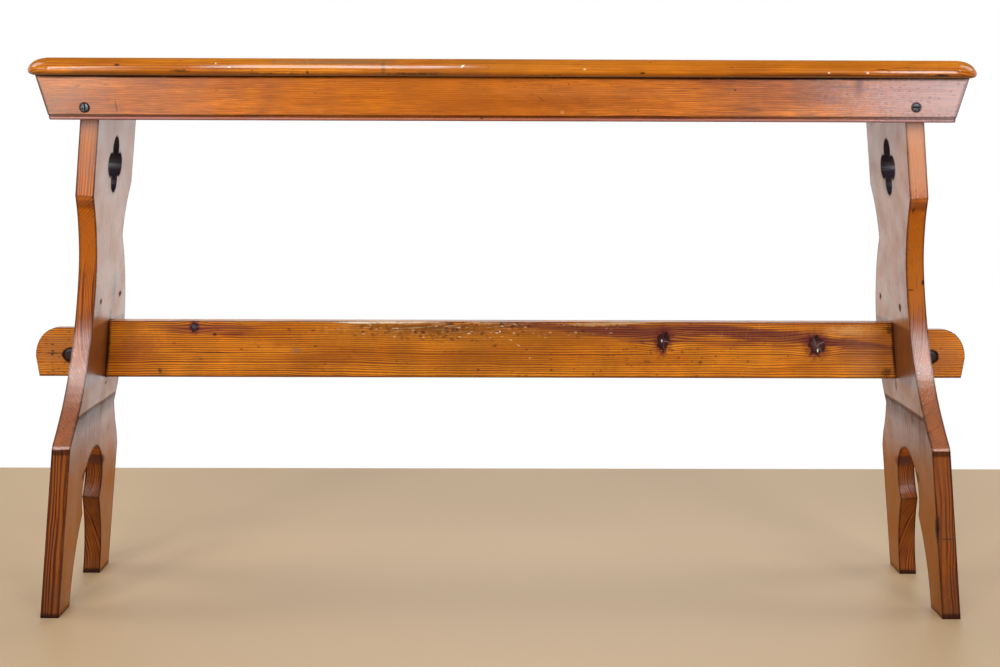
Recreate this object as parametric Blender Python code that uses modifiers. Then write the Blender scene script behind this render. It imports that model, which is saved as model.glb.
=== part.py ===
# Organ bench: a long seat on two splayed end panels, tied by a pegged stretcher.
# Metres, +Z up. The origin is on the floor under the middle of the bench.
# The long way is X, and the beaded apron faces -Y.

import math

import bmesh
import bpy
from mathutils import Matrix, Vector

# Overall sizes
seat_length = 1.063
seat_height = 0.6395
seat_thickness = 0.0195
seat_corner_radius = 0.022
seat_overhang = 0.011
nosing_reach = 0.022
nosing_under = 0.0048
nosing_land = 0.0008
splay_angle = math.radians(5.6)

# End panels
panel_thickness = 0.021
panel_inset = 0.0595
panel_top_depth = 0.187
base_depth = 0.239
foot_length = 0.0475
shoulder_round = 0.004

# Cusped arch between the feet, sizes along the panel
arch_centre_height = 0.132
arch_head_radius = 0.048
arch_cusp_half_width = 0.0405
arch_side_shares = (0.0, 0.02, 0.09, 0.22, 0.41, 0.67)

# Quatrefoil pierced near the top of each panel
quatrefoil_drop = 0.0997
quatrefoil_lobe_radius = 0.0143
quatrefoil_lobe_offset = 0.0192

# Aprons under the seat
apron_thickness = 0.018
front_apron_height = 0.0487
rear_apron_height = 0.0455
apron_end_angle = math.radians(16.6)
bead_radius = 0.0018
quirk_width = 0.0019

# Stretcher, tenons and pegs
stretcher_bottom = 0.2605
stretcher_height = 0.069
stretcher_thickness = 0.021
stretcher_front_share = 0.194
tenon_thickness = 0.0135
tenon_height = 0.060
tenon_proud = 0.066
tenon_round_width = 0.028
tenon_round_height = 0.035
tenon_undercut = 0.0038
peg_diameter = 0.0152
peg_recess = 0.0008
peg_height_share = 0.44
peg_setback = 0.0245

# Slotted screws that hold the aprons
apron_screw_head = 0.0102
apron_screw_shank = 0.0052
apron_screw_length = 0.045
apron_screw_height = 0.0155
left_screw_shift = (0.0020, -0.0020)
right_screw_shift = (-0.0024, 0.0012)

# Cleats under the seat, with their screws
cleat_width = 0.022
cleat_height = 0.022
cleat_length = 0.150
cleat_screw_head = 0.0078
cleat_screw_shank = 0.0038
cleat_side_screw_length = 0.034
cleat_seat_screw_length = 0.033
cleat_screw_spacing = 0.100
cleat_screw_stagger = 0.022

# Glue blocks rubbed into the corner of seat and apron
block_side = 0.020
block_length = 0.060
block_spacing = 0.440

# Common clearances and finish
gap = 0.0003
overrun = 0.01
arris = 0.0012
slot_width = 0.0013
slot_depth = 0.0012
head_rim = 0.0006
weld = 0.00001

# The seat's rounded nosing above its widest line: reach inwards and rise, as
# shares of the nosing's reach and of the thickness left above that line.
nosing_shares = ((0.0, 0.0), (0.082, 0.32), (0.173, 0.5), (0.34, 0.686), (0.536, 0.843), (0.705, 0.929), (1.0, 1.0))

# A screw's point as a share of its shank, and the bevel profile of a true arc.
screw_tip_share = 1.2
circle_share = 0.5

# The panel's edges, from the seat down, as shares of half the base depth and of
# the panel's slant height. Each run is a smooth curve and its ends are corners.
front_sweep_shares = (
    (-0.770, 0.783), (-0.664, 0.753), (-0.586, 0.725), (-0.502, 0.686), (-0.456, 0.650),
    (-0.439, 0.596), (-0.461, 0.531), (-0.552, 0.457), (-0.686, 0.399), (-0.862, 0.352),
    (-0.985, 0.325),
)
rear_foot_sweep_shares = ((0.985, 0.266), (0.920, 0.289), (0.832, 0.312), (0.755, 0.337), (0.705, 0.358))
rear_bulge_shares = (
    (0.705, 0.358), (0.785, 0.381), (0.862, 0.415), (0.916, 0.470), (0.920, 0.518),
    (0.882, 0.566), (0.803, 0.612), (0.705, 0.652), (0.619, 0.678), (0.544, 0.697),
)
rear_neck_shares = ((0.544, 0.697), (0.557, 0.718), (0.595, 0.743), (0.655, 0.769), (0.774, 0.803))

curve_steps = 4
nosing_steps = 2
lobe_steps = 10
head_steps = 24
round_steps = 8
turn_steps = 20

# Worked out from the sizes above
half_base = base_depth / 2
half_top = panel_top_depth / 2
seat_bottom = seat_height - seat_thickness
under_seat = seat_bottom - gap
slant_height = under_seat / math.cos(splay_angle)
panel_run = panel_thickness / math.cos(splay_angle)
outer_at_floor = seat_length / 2 - panel_inset + seat_bottom * math.tan(splay_angle)
inner_at_floor = outer_at_floor - panel_run
seat_depth = 2 * (half_top + gap + apron_thickness + seat_overhang)
apron_half_length = seat_length / 2 - seat_overhang
stretcher_top = stretcher_bottom + stretcher_height
stretcher_front = stretcher_front_share * half_base
stretcher_middle = stretcher_front + stretcher_thickness / 2

varnished_pine = (0.50, 0.20, 0.045, 1.0)
panel_pine = (0.42, 0.16, 0.040, 1.0)
plain_pine = (0.58, 0.36, 0.17, 1.0)
dark_peg = (0.050, 0.024, 0.018, 1.0)
dark_steel = (0.09, 0.09, 0.10, 1.0)


def clear_scene():
    for old in list(bpy.data.objects):
        bpy.data.objects.remove(old, do_unlink=True)


def new_collection(name):
    group = bpy.data.collections.new(name)
    bpy.context.scene.collection.children.link(group)
    return group


def put_in(thing, group):
    for old in list(thing.users_collection):
        old.objects.unlink(thing)
    group.objects.link(thing)


def finish_material(name, colour, roughness, metallic=0.0):
    material = bpy.data.materials.new(name)
    material.use_nodes = True
    shader = material.node_tree.nodes["Principled BSDF"]
    shader.inputs["Base Color"].default_value = colour
    shader.inputs["Roughness"].default_value = roughness
    shader.inputs["Metallic"].default_value = metallic
    material.diffuse_color = colour
    return material


def as_cutter(thing):
    put_in(thing, cutters)
    thing.hide_render = True
    thing.display_type = "WIRE"
    return thing


def as_part(thing, material):
    put_in(thing, bench)
    thing.data.materials.clear()
    thing.data.materials.append(material)
    return thing


def boolean(target, other, operation):
    change = target.modifiers.new(operation.lower(), "BOOLEAN")
    change.object = other
    change.operation = operation
    change.solver = "EXACT"


def cut(target, cutter):
    boolean(target, cutter, "DIFFERENCE")


def join(target, addition):
    boolean(target, addition, "UNION")


def box(name, low, high):
    """A box from its low corner to its high corner."""
    low = Vector(low)
    high = Vector(high)
    bpy.ops.mesh.primitive_cube_add(size=1, location=(low + high) / 2)
    thing = bpy.context.active_object
    thing.name = name
    thing.scale = high - low
    bpy.ops.object.transform_apply(location=False, rotation=False, scale=True)
    return thing


def flat_solid(name, outlines, thickness, place):
    """An outline with its holes, given a thickness, as a welded mesh at place."""
    shape = bpy.data.curves.new(name, "CURVE")
    shape.dimensions = "2D"
    shape.fill_mode = "BOTH"
    shape.extrude = thickness / 2
    for points in outlines:
        run = shape.splines.new("POLY")
        run.points.add(len(points) - 1)
        for spot, (along, up) in zip(run.points, points):
            spot.co = (along, up, 0.0, 1.0)
        run.use_cyclic_u = True
    guide = bpy.data.objects.new(name + "_outline", shape)
    bpy.context.scene.collection.objects.link(guide)
    guide.matrix_world = place
    seen = bpy.context.evaluated_depsgraph_get()
    mesh = bpy.data.meshes.new_from_object(guide.evaluated_get(seen))
    work = bmesh.new()
    work.from_mesh(mesh)
    bmesh.ops.remove_doubles(work, verts=work.verts, dist=weld)
    bmesh.ops.recalc_face_normals(work, faces=work.faces)
    work.to_mesh(mesh)
    work.free()
    mesh.name = name
    thing = bpy.data.objects.new(name, mesh)
    bpy.context.scene.collection.objects.link(thing)
    thing.matrix_world = guide.matrix_world
    bpy.data.objects.remove(guide, do_unlink=True)
    return thing


def turned(name, profile, place):
    """A solid turned about its own Z axis from a profile that runs down its outer side."""
    mesh = bpy.data.meshes.new(name)
    spots = [(radius, 0.0, height) for radius, height in profile]
    mesh.from_pydata(spots, [(i, i + 1) for i in range(len(spots) - 1)], [])
    thing = bpy.data.objects.new(name, mesh)
    bpy.context.scene.collection.objects.link(thing)
    thing.matrix_world = place
    turn = thing.modifiers.new("turn", "SCREW")
    turn.axis = "Z"
    turn.angle = math.tau
    turn.steps = turn_steps
    turn.render_steps = turn_steps
    turn.use_merge_vertices = True
    turn.merge_threshold = weld
    turn.use_smooth_shade = True
    return thing


def axes(across, up, point):
    """A placement whose local X runs across, whose local Y runs up, at a point."""
    across = Vector(across).normalized()
    up = Vector(up).normalized()
    out = across.cross(up)
    turn = Matrix((across, up, out)).transposed()
    return Matrix.Translation(Vector(point)) @ turn.to_4x4()


def pointing(direction, point):
    """A placement whose local -Z runs along a direction, at a point."""
    turn = Vector(direction).to_track_quat("-Z", "Y")
    return Matrix.Translation(Vector(point)) @ turn.to_matrix().to_4x4()


def arc(centre, radius, start, end, steps):
    """Points on an arc between two angles, both ends included."""
    points = []
    for i in range(steps + 1):
        angle = start + (end - start) * i / steps
        points.append((centre[0] + radius[0] * math.cos(angle), centre[1] + radius[1] * math.sin(angle)))
    return points


def smooth_run(knots, steps):
    """A smooth curve through its knots, both ends included."""
    points = []
    for i in range(len(knots) - 1):
        here = Vector(knots[i])
        there = Vector(knots[i + 1])
        before = Vector(knots[i - 1]) if i > 0 else here * 2 - there
        after = Vector(knots[i + 2]) if i + 2 < len(knots) else there * 2 - here
        lead_in = (there - before) / 2
        lead_out = (after - here) / 2
        for k in range(steps):
            t = k / steps
            points.append(tuple(
                here * (2 * t ** 3 - 3 * t ** 2 + 1) + lead_in * (t ** 3 - 2 * t ** 2 + t)
                + there * (3 * t ** 2 - 2 * t ** 3) + lead_out * (t ** 3 - t ** 2)))
    points.append(tuple(knots[-1]))
    return points


def inner_x(height):
    """Half the space between the end panels at a height."""
    return inner_at_floor - height * math.tan(splay_angle)


def outer_x(height):
    """Half the length over the end panels at a height."""
    return outer_at_floor - height * math.tan(splay_angle)


def arch_side():
    """One side of the arch below its cusp, from the floor up, at positive depth."""
    spread = half_base - foot_length
    cusp_height = arch_cusp_height()
    narrowing = spread - arch_cusp_half_width
    count = len(arch_side_shares)
    knots = [(spread - narrowing * share, cusp_height * i / count) for i, share in enumerate(arch_side_shares)]
    knots.append((arch_cusp_half_width, cusp_height))
    return smooth_run(knots, curve_steps)


def arch_cusp_height():
    return arch_centre_height - math.sqrt(arch_head_radius ** 2 - arch_cusp_half_width ** 2)


def panel_outline():
    """The panel's outline, depth and slant height, from its top front corner down."""
    def sized(shares):
        return [(depth * half_base, height * slant_height) for depth, height in shares]

    front_sweep = smooth_run(sized(front_sweep_shares), curve_steps)
    rear_foot = smooth_run(sized(rear_foot_sweep_shares), curve_steps)
    rear_bulge = smooth_run(sized(rear_bulge_shares), curve_steps)
    rear_neck = smooth_run(sized(rear_neck_shares), curve_steps)
    side = arch_side()
    cusp_angle = math.atan2(arch_cusp_height() - arch_centre_height, arch_cusp_half_width)
    head = arc((0.0, arch_centre_height), (arch_head_radius, arch_head_radius),
               math.pi - cusp_angle, cusp_angle, head_steps)
    points = [(-half_top, slant_height + overrun)]
    points += front_sweep
    points += [(-half_base, front_sweep[-1][1] - shoulder_round), (-half_base, -overrun)]
    points += [(-side[0][0], -overrun)]
    points += [(-depth, height) for depth, height in side[:-1]]
    points += head
    points += list(reversed(side[:-1]))
    points += [(side[0][0], -overrun), (half_base, -overrun)]
    points += [(half_base, rear_foot[0][1] - shoulder_round)]
    points += rear_foot[:-1] + rear_bulge[:-1] + rear_neck
    points += [(half_top, slant_height + overrun)]
    return points


def quatrefoil_outline():
    """Four lobes that meet in cusps, about the middle of the panel."""
    centre_height = slant_height - quatrefoil_drop
    middle = quatrefoil_lobe_offset / 2
    reach = math.sqrt(quatrefoil_lobe_radius ** 2 - 2 * middle ** 2) / math.sqrt(2)
    cusp = middle + reach
    sweep = math.atan2(cusp, cusp - quatrefoil_lobe_offset)
    points = []
    for turn in range(4):
        facing = math.pi / 2 * turn
        centre = (quatrefoil_lobe_offset * math.cos(facing),
                  centre_height + quatrefoil_lobe_offset * math.sin(facing))
        lobe = arc(centre, (quatrefoil_lobe_radius, quatrefoil_lobe_radius),
                   facing - sweep, facing + sweep, lobe_steps)
        points += lobe[:-1]
    return points


def screw_profile(head, shank, length, grow=0.0, above=0.0):
    """A countersunk screw from the middle of its head to its point."""
    head_radius = head / 2 + grow
    shank_radius = shank / 2 + grow
    rim = head_rim + grow
    cone = rim + head_radius - shank_radius
    tip = shank * screw_tip_share
    profile = [(0.0, above), (head_radius, above)]
    profile += [(head_radius, -rim), (shank_radius, -cone)]
    profile += [(shank_radius, tip - length), (0.0, -length - grow)]
    return profile


def wood_screw(name, head, shank, length, point, direction, slot_angle, pieces):
    """A slotted screw sunk flush at a point, and its hole through each piece."""
    place = pointing(direction, point)
    screw = as_part(turned(name, screw_profile(head, shank, length), place), steel)
    slot = box(name + "_slot", (-head, -slot_width / 2, -slot_depth), (head, slot_width / 2, overrun))
    slot.matrix_world = place @ Matrix.Rotation(slot_angle, 4, "Z") @ slot.matrix_world
    cut(screw, as_cutter(slot))
    hole_profile = screw_profile(head, shank, length, grow=gap, above=overrun)
    hole = as_cutter(turned(name + "_hole", hole_profile, place))
    for piece in pieces:
        cut(piece, hole)
    return screw


def step_faces(work, face, steps):
    """Raise a face through a row of insets, each a reach inwards and a rise."""
    for (reach, rise), (next_reach, next_rise) in zip(steps, steps[1:]):
        bmesh.ops.inset_region(work, faces=[face], thickness=next_reach - reach, depth=0.0,
                               use_even_offset=True, use_boundary=True)
        bmesh.ops.translate(work, verts=face.verts, vec=Vector((0.0, 0.0, next_rise - rise)))


def build_seat():
    """The seat board, with a thumbnail nosing and rounded corners."""
    half_length = seat_length / 2
    half_depth = seat_depth / 2
    widest = seat_bottom + nosing_under
    seat = box("seat_board", (-half_length, -half_depth, widest), (half_length, half_depth, widest + nosing_land))
    seat.data.transform(seat.matrix_world)
    seat.matrix_world = Matrix.Identity(4)
    work = bmesh.new()
    work.from_mesh(seat.data)
    corners = [edge for edge in work.edges if abs(edge.verts[0].co.z - edge.verts[1].co.z) > nosing_land / 2]
    bmesh.ops.bevel(work, geom=corners, offset=seat_corner_radius, segments=round_steps,
                    profile=circle_share, affect="EDGES")
    work.faces.ensure_lookup_table()
    top = max(work.faces, key=lambda face: face.calc_center_median().z)
    bottom = min(work.faces, key=lambda face: face.calc_center_median().z)
    rise = seat_height - widest - nosing_land
    over = smooth_run([(reach * nosing_reach, up * rise) for reach, up in nosing_shares], nosing_steps)
    under = [(nosing_under - along, up - nosing_under) for along, up in
             arc((0.0, nosing_under), (nosing_under, nosing_under), 0.0, -math.pi / 2, round_steps)]
    step_faces(work, top, over)
    step_faces(work, bottom, under)
    for face in work.faces:
        face.smooth = True
    work.to_mesh(seat.data)
    work.free()
    seat.data.set_sharp_from_angle(angle=math.radians(40))
    return as_part(seat, seat_wood)


def apron_section(height, beaded):
    """The apron's section, depth from its front face and height from its top."""
    if not beaded:
        return [(0.0, -height + arris), (0.0, 0.0), (apron_thickness, 0.0),
                (apron_thickness, -height), (arris, -height)]
    bead_middle = -height + bead_radius
    bead_top = bead_middle + bead_radius
    bead = arc((bead_radius, bead_middle), (bead_radius, bead_radius), math.pi * 1.5, math.pi * 0.5, round_steps)
    section = [(0.0, 0.0), (apron_thickness, 0.0), (apron_thickness, -height)]
    section += bead
    section += [(bead_radius, bead_top + quirk_width), (0.0, bead_top + quirk_width)]
    return section


def build_apron(name, height, side, beaded):
    """An apron on one side: -1 in front, 1 behind, with ends that rake inwards."""
    face = side * (half_top + gap + apron_thickness)
    place = axes((0.0, -side, 0.0), (0.0, 0.0, 1.0), (0.0, face, under_seat))
    apron = flat_solid(name, [apron_section(height, beaded)], apron_half_length * 2, place)
    for end in (-1, 1):
        lean = end * apron_end_angle
        saw = box(name + "_end_cut", (-overrun, -apron_thickness - overrun, -height * 2),
                  (overrun, apron_thickness + overrun, height * 2))
        shift = Matrix.Translation(Vector((end * overrun, 0.0, 0.0)))
        spot = Matrix.Translation(Vector((end * apron_half_length, face, under_seat)))
        saw.matrix_world = spot @ Matrix.Rotation(lean, 4, "Y") @ shift
        cut(apron, as_cutter(saw))
    return as_part(apron, front_wood)


def build_panel(name, side):
    """An end panel: -1 on the left, 1 on the right, leaning in towards the seat."""
    lean = Vector((-side * math.sin(splay_angle), 0.0, math.cos(splay_angle)))
    foot = Vector((side * (outer_at_floor - panel_run / 2), 0.0, 0.0))
    place = axes((0.0, 1.0, 0.0), lean, foot)
    panel = flat_solid(name, [panel_outline(), quatrefoil_outline()], panel_thickness, place)
    reach = outer_at_floor + overrun
    floor_cut = box(name + "_floor_cut", (-reach, -half_base - overrun, -overrun * 3),
                    (reach, half_base + overrun, 0.0))
    top_cut = box(name + "_top_cut", (-reach, -half_base - overrun, under_seat),
                  (reach, half_base + overrun, under_seat + overrun * 3))
    cut(panel, as_cutter(floor_cut))
    cut(panel, as_cutter(top_cut))
    return as_part(panel, panel_wood)


def tenon_outline(side):
    """The tenon from inside the stretcher to its rounded end, in X and Z."""
    middle = stretcher_bottom + tenon_height / 2
    tip = outer_x(middle) + tenon_proud
    top = stretcher_bottom + tenon_height
    root = inner_x(stretcher_top) - overrun
    rounded = arc((tip - tenon_round_width, top - tenon_round_height), (tenon_round_width, tenon_round_height),
                  math.pi / 2, 0.0, round_steps)
    points = [(root, stretcher_bottom + gap), (root, top)]
    points += rounded
    points += [(tip - tenon_undercut, stretcher_bottom + gap)]
    return [(side * along, up) for along, up in points]


def build_stretcher(left_panel, right_panel):
    upright = axes((1.0, 0.0, 0.0), (0.0, 0.0, 1.0), (0.0, stretcher_middle, 0.0))
    low = inner_x(stretcher_bottom) - gap
    high = inner_x(stretcher_top) - gap
    body = [(-low, stretcher_bottom), (low, stretcher_bottom), (high, stretcher_top), (-high, stretcher_top)]
    stretcher = flat_solid("stretcher", [body], stretcher_thickness, upright)
    for side, panel in ((-1, left_panel), (1, right_panel)):
        outline = tenon_outline(side)
        tenon = flat_solid("tenon", [outline], tenon_thickness, upright)
        join(stretcher, as_cutter(tenon))
        nearest = inner_x(stretcher_top) - overrun
        farthest = outer_x(stretcher_bottom) + overrun
        ends = sorted((side * nearest, side * farthest))
        half = tenon_thickness / 2 + gap
        mortise = box("mortise", (ends[0], stretcher_middle - half, stretcher_bottom),
                      (ends[1], stretcher_middle + half, stretcher_bottom + tenon_height + gap))
        cut(panel, as_cutter(mortise))
    return as_part(stretcher, front_wood)


def build_peg(name, side, stretcher):
    """A dowel that passes through the tenon outside the panel."""
    middle = stretcher_bottom + tenon_height * peg_height_share
    centre = Vector((side * (outer_x(middle) + peg_setback), stretcher_middle, middle))
    half = tenon_thickness / 2 - peg_recess
    facing = Matrix.Rotation(math.pi / 2, 4, "X")
    radius = peg_diameter / 2
    profile = [(0.0, half), (radius - arris / 2, half), (radius, half - arris / 2),
               (radius, arris / 2 - half), (radius - arris / 2, -half), (0.0, -half)]
    peg = turned(name, profile, Matrix.Translation(centre) @ facing)
    reach = tenon_thickness / 2 + overrun
    bore_profile = [(0.0, reach), (radius + gap, reach), (radius + gap, -reach), (0.0, -reach)]
    bore = turned(name + "_bore", bore_profile, Matrix.Translation(centre) @ facing)
    cut(stretcher, as_cutter(bore))
    return as_part(peg, peg_wood)


def fasten_apron(name, side, apron, panels):
    """One screw at each end of an apron, into the edge of each panel."""
    face = side * (half_top + gap + apron_thickness)
    ends = ((-1, "left", panels[0], left_screw_shift, math.pi / 2), (1, "right", panels[1], right_screw_shift, 0.0))
    for end, word, panel, (outward, up), slot_angle in ends:
        height = under_seat - front_apron_height + apron_screw_height + up
        middle = end * (outer_x(height) - panel_run / 2 + outward)
        wood_screw(name + "_" + word + "_screw", apron_screw_head, apron_screw_shank, apron_screw_length,
                   (middle, face, height), (0.0, -side, 0.0), slot_angle, (apron, panel))


def build_cleat(word, side, panel, seat):
    """A cleat on the inner face of a panel, screwed to it and up into the seat."""
    low = under_seat - cleat_height
    top_edge = inner_x(under_seat) - gap
    low_edge = inner_x(low) - gap
    inside = top_edge - cleat_width
    outline = [(side * inside, low), (side * low_edge, low), (side * top_edge, under_seat), (side * inside, under_seat)]
    upright = axes((1.0, 0.0, 0.0), (0.0, 0.0, 1.0), (0.0, 0.0, 0.0))
    name = word + "_cleat"
    cleat = as_part(flat_solid(name, [outline], cleat_length, upright), plain_wood)
    half_spacing = cleat_screw_spacing / 2
    for place, offset in (("front", -half_spacing), ("rear", half_spacing)):
        wood_screw(name + "_" + place + "_side_screw", cleat_screw_head, cleat_screw_shank,
                   cleat_side_screw_length, (side * inside, offset, low + cleat_height / 2),
                   (side, 0.0, 0.0), math.pi / 6, (cleat, panel))
        inward = offset - math.copysign(cleat_screw_stagger, offset)
        wood_screw(name + "_" + place + "_seat_screw", cleat_screw_head, cleat_screw_shank,
                   cleat_seat_screw_length, (side * (inside + low_edge) / 2, inward, low),
                   (0.0, 0.0, 1.0), math.pi / 3, (cleat, seat))
    return cleat


def build_glue_block(name, side, end):
    """A three-cornered block between the seat and the back of an apron."""
    back = side * half_top
    far = back - side * block_side
    top = under_seat
    low = top - block_side
    outline = [(back, top), (far, top), (far, top - arris), (back - side * arris, low), (back, low)]
    place = axes((0.0, 1.0, 0.0), (0.0, 0.0, 1.0), (end * block_spacing / 2, 0.0, 0.0))
    return as_part(flat_solid(name, [outline], block_length, place), plain_wood)


clear_scene()
bench = new_collection("organ_bench")
cutters = new_collection("cutters")
seat_wood = finish_material("seat pine", varnished_pine, 0.22)
front_wood = finish_material("varnished pine", varnished_pine, 0.28)
panel_wood = finish_material("panel pine", panel_pine, 0.25)
plain_wood = finish_material("bare pine", plain_pine, 0.7)
peg_wood = finish_material("dark peg", dark_peg, 0.5)
steel = finish_material("dark steel", dark_steel, 0.45, 0.9)

seat = build_seat()
left_panel = build_panel("left_end_panel", -1)
right_panel = build_panel("right_end_panel", 1)
front_apron = build_apron("front_apron", front_apron_height, -1, True)
rear_apron = build_apron("rear_apron", rear_apron_height, 1, False)
stretcher = build_stretcher(left_panel, right_panel)
build_peg("left_peg", -1, stretcher)
build_peg("right_peg", 1, stretcher)
fasten_apron("front_apron", -1, front_apron, (left_panel, right_panel))
fasten_apron("rear_apron", 1, rear_apron, (left_panel, right_panel))
build_cleat("left", -1, left_panel, seat)
build_cleat("right", 1, right_panel, seat)
for row, side in (("front", -1), ("rear", 1)):
    for word, end in (("left", -1), ("right", 1)):
        build_glue_block(row + "_" + word + "_glue_block", side, end)
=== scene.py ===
# Organ bench in old pitch pine under amber varnish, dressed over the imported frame.
# Metres, +Z up, the long way along X, the beaded apron towards -Y.
import math
from functools import partial

import bmesh
import bpy
from mathutils import Matrix, Vector, noise


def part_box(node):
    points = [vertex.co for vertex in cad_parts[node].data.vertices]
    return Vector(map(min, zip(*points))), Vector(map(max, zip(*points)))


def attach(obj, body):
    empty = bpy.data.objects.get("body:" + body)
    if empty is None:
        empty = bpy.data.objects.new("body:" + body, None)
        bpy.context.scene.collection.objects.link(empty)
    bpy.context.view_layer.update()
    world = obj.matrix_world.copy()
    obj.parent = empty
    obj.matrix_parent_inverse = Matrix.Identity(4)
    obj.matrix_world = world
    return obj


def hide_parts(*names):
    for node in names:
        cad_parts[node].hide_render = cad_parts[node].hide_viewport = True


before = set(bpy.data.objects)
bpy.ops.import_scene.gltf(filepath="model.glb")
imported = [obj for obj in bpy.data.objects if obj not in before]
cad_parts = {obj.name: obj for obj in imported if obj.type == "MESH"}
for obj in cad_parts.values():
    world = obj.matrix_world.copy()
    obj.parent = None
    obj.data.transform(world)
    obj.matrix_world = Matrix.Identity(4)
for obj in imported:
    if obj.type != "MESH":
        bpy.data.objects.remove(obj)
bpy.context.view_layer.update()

mm = 0.001
white = (1.0, 1.0, 1.0, 1.0)
smooth = {"interpolation_type": "SMOOTHSTEP"}    # a range that eases in and out
rgba = {"data_type": "RGBA"}                     # a mix of two colours


# Shared helpers

def hexColour(value):
    # sRGB hex to linear, with alpha 1
    parts = [int(value[i:i + 2], 16) / 255 for i in (1, 3, 5)]
    linear = [c / 12.92 if c <= 0.04045 else ((c + 0.055) / 1.055) ** 2.4 for c in parts]
    return (*linear, 1.0)


def addNode(tree, kind, settings=None, inputs=()):
    # adds a shader node, sets its properties, then links or fills its inputs. One word of
    # settings is the operation; inputs go by name or number, or in order from the first on.
    # A node stands for its first output, and a hex string for its colour.
    node = tree.nodes.new("ShaderNode" + kind)
    if isinstance(settings, str):
        settings = {"operation": settings}
    for key, value in (settings or {}).items():
        setattr(node, key, value)
    for key, value in (inputs.items() if isinstance(inputs, dict) else enumerate(inputs)):
        socket = node.inputs[key]
        if isinstance(value, bpy.types.NodeSocket):
            tree.links.new(value, socket)
        elif isinstance(value, bpy.types.Node):
            tree.links.new(value.outputs[0], socket)
        elif isinstance(value, str):
            socket.default_value = hexColour(value)
        else:
            socket.default_value = value
    return node


def inMetres(values):
    return [value * mm for value in values]


def inRadians(values):
    return [math.radians(value) for value in values]


def newMaterial(name):
    # gives back the material and the function that adds a node to it
    material = bpy.data.materials.new(name)
    material.use_nodes = True
    material.node_tree.nodes.clear()
    return material, partial(addNode, material.node_tree)


def makeActive(thing):
    bpy.ops.object.select_all(action="DESELECT")
    thing.select_set(True)
    bpy.context.view_layer.objects.active = thing


def finishPiece(piece, materials, slotName, *nodes):
    piece.data.materials.clear()
    for material in materials:
        piece.data.materials.append(material)
    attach(piece, "root")
    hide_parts(*nodes)


faceNormals = {"mode": "FACE_AREA", "weight": 100, "keep_sharp": True}


def applyModifier(piece, kind, settings):
    makeActive(piece)
    bpy.ops.object.modifier_add(type=kind)
    change = piece.modifiers[-1]
    for key, value in settings.items():
        setattr(change, key, value)
    bpy.ops.object.modifier_apply(modifier=change.name)


def selectWhere(kind, wanted):
    # in edit mode, selects the verts, edges or faces that a test picks
    work = bmesh.from_edit_mesh(bpy.context.active_object.data)
    for part in getattr(work, kind):
        part.select_set(wanted(part))
    bmesh.update_edit_mesh(bpy.context.active_object.data)


# Camera, at the place the photograph was taken from

cameraPlace = {
    "eye": (-0.015, -1.879, 0.550),
    "pitch": 7.04,          # degrees down
    "yaw": 0.40,            # degrees towards +X
    "roll": 0.192,
    "focalPixels": 1566.8,
    "picturePixels": 1000,  # the width of the picture
    "sensorWidth": 36,
}


def placeCamera(place):
    pitch = math.radians(place["pitch"])
    yaw = math.radians(place["yaw"])
    roll = math.radians(place["roll"])
    forward = Vector((math.sin(yaw) * math.cos(pitch), math.cos(yaw) * math.cos(pitch), -math.sin(pitch)))
    right = Vector((math.cos(yaw), -math.sin(yaw), 0))
    up = right.cross(forward)
    across = right * math.cos(roll) + up * math.sin(roll)
    above = up * math.cos(roll) - right * math.sin(roll)
    bpy.ops.object.camera_add()
    camera = bpy.context.active_object
    camera.name = "camera"
    turn = Matrix((across, above, -forward)).transposed().to_4x4()
    camera.matrix_world = Matrix.Translation(Vector(place["eye"])) @ turn
    camera.data.sensor_width = place["sensorWidth"]
    camera.data.lens = place["focalPixels"] * place["sensorWidth"] / place["picturePixels"]
    bpy.context.scene.camera = camera


placeCamera(cameraPlace)
print("camera placed")


# Studio: a plain pale floor, a white wall behind, soft lamps and a dim room in front

studio = {
    "floorColour": "#BFA07B",
    "floorReach": 9.0,
    "floorSeen": "#BEA688",          # what the lit floor renders as, shown where no lamp reaches
    "floorFar": (1.35, 2.4),         # metres from the bench over which that takes over
    "wallDistance": 0.717,
    "wallHeight": 1.15,
    "roomLevel": 0.10,
    "ceilingLevel": 0.32,
    "lampTint": (0.88, 0.95, 1.0),   # cool window light
    "lamps": (
        {"name": "leftSoftbox", "spot": (-1.60, -3.1, 1.85), "size": (0.55, 1.5), "power": 36},
        {"name": "leftLowSoftbox", "spot": (-1.50, -3.1, 0.78), "size": (1.3, 0.8), "power": 10},
        {"name": "rightSoftbox", "spot": (1.48, -3.1, 1.25), "size": (1.1, 1.8), "power": 33},
        {"name": "rightHighBox", "spot": (1.30, -3.1, 1.80), "size": (0.45, 0.9), "power": 12},
        {"name": "highFill", "spot": (-0.52, -3.1, 2.20), "size": (0.80, 2.0), "power": 56},
        {"name": "leftWindow", "spot": (-3.6, -2.2, 1.55), "size": (0.9, 0.4), "power": 13},
        {"name": "rightWindow", "spot": (3.2, -2.4, 2.5), "size": (0.6, 0.6), "power": 12},
        {"name": "leftFill", "spot": (-3.4, 0.3, 3.0), "size": (1.6, 1.6), "power": 38},
        {"name": "rightFill", "spot": (3.4, 0.3, 3.0), "size": (1.6, 1.6), "power": 36},
        {"name": "backFill", "spot": (0.4, 3.8, 2.4), "size": (2.6, 1.2), "power": 60},
    ),
    "lampAim": (0.0, 0.0, 0.35),
}


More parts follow.
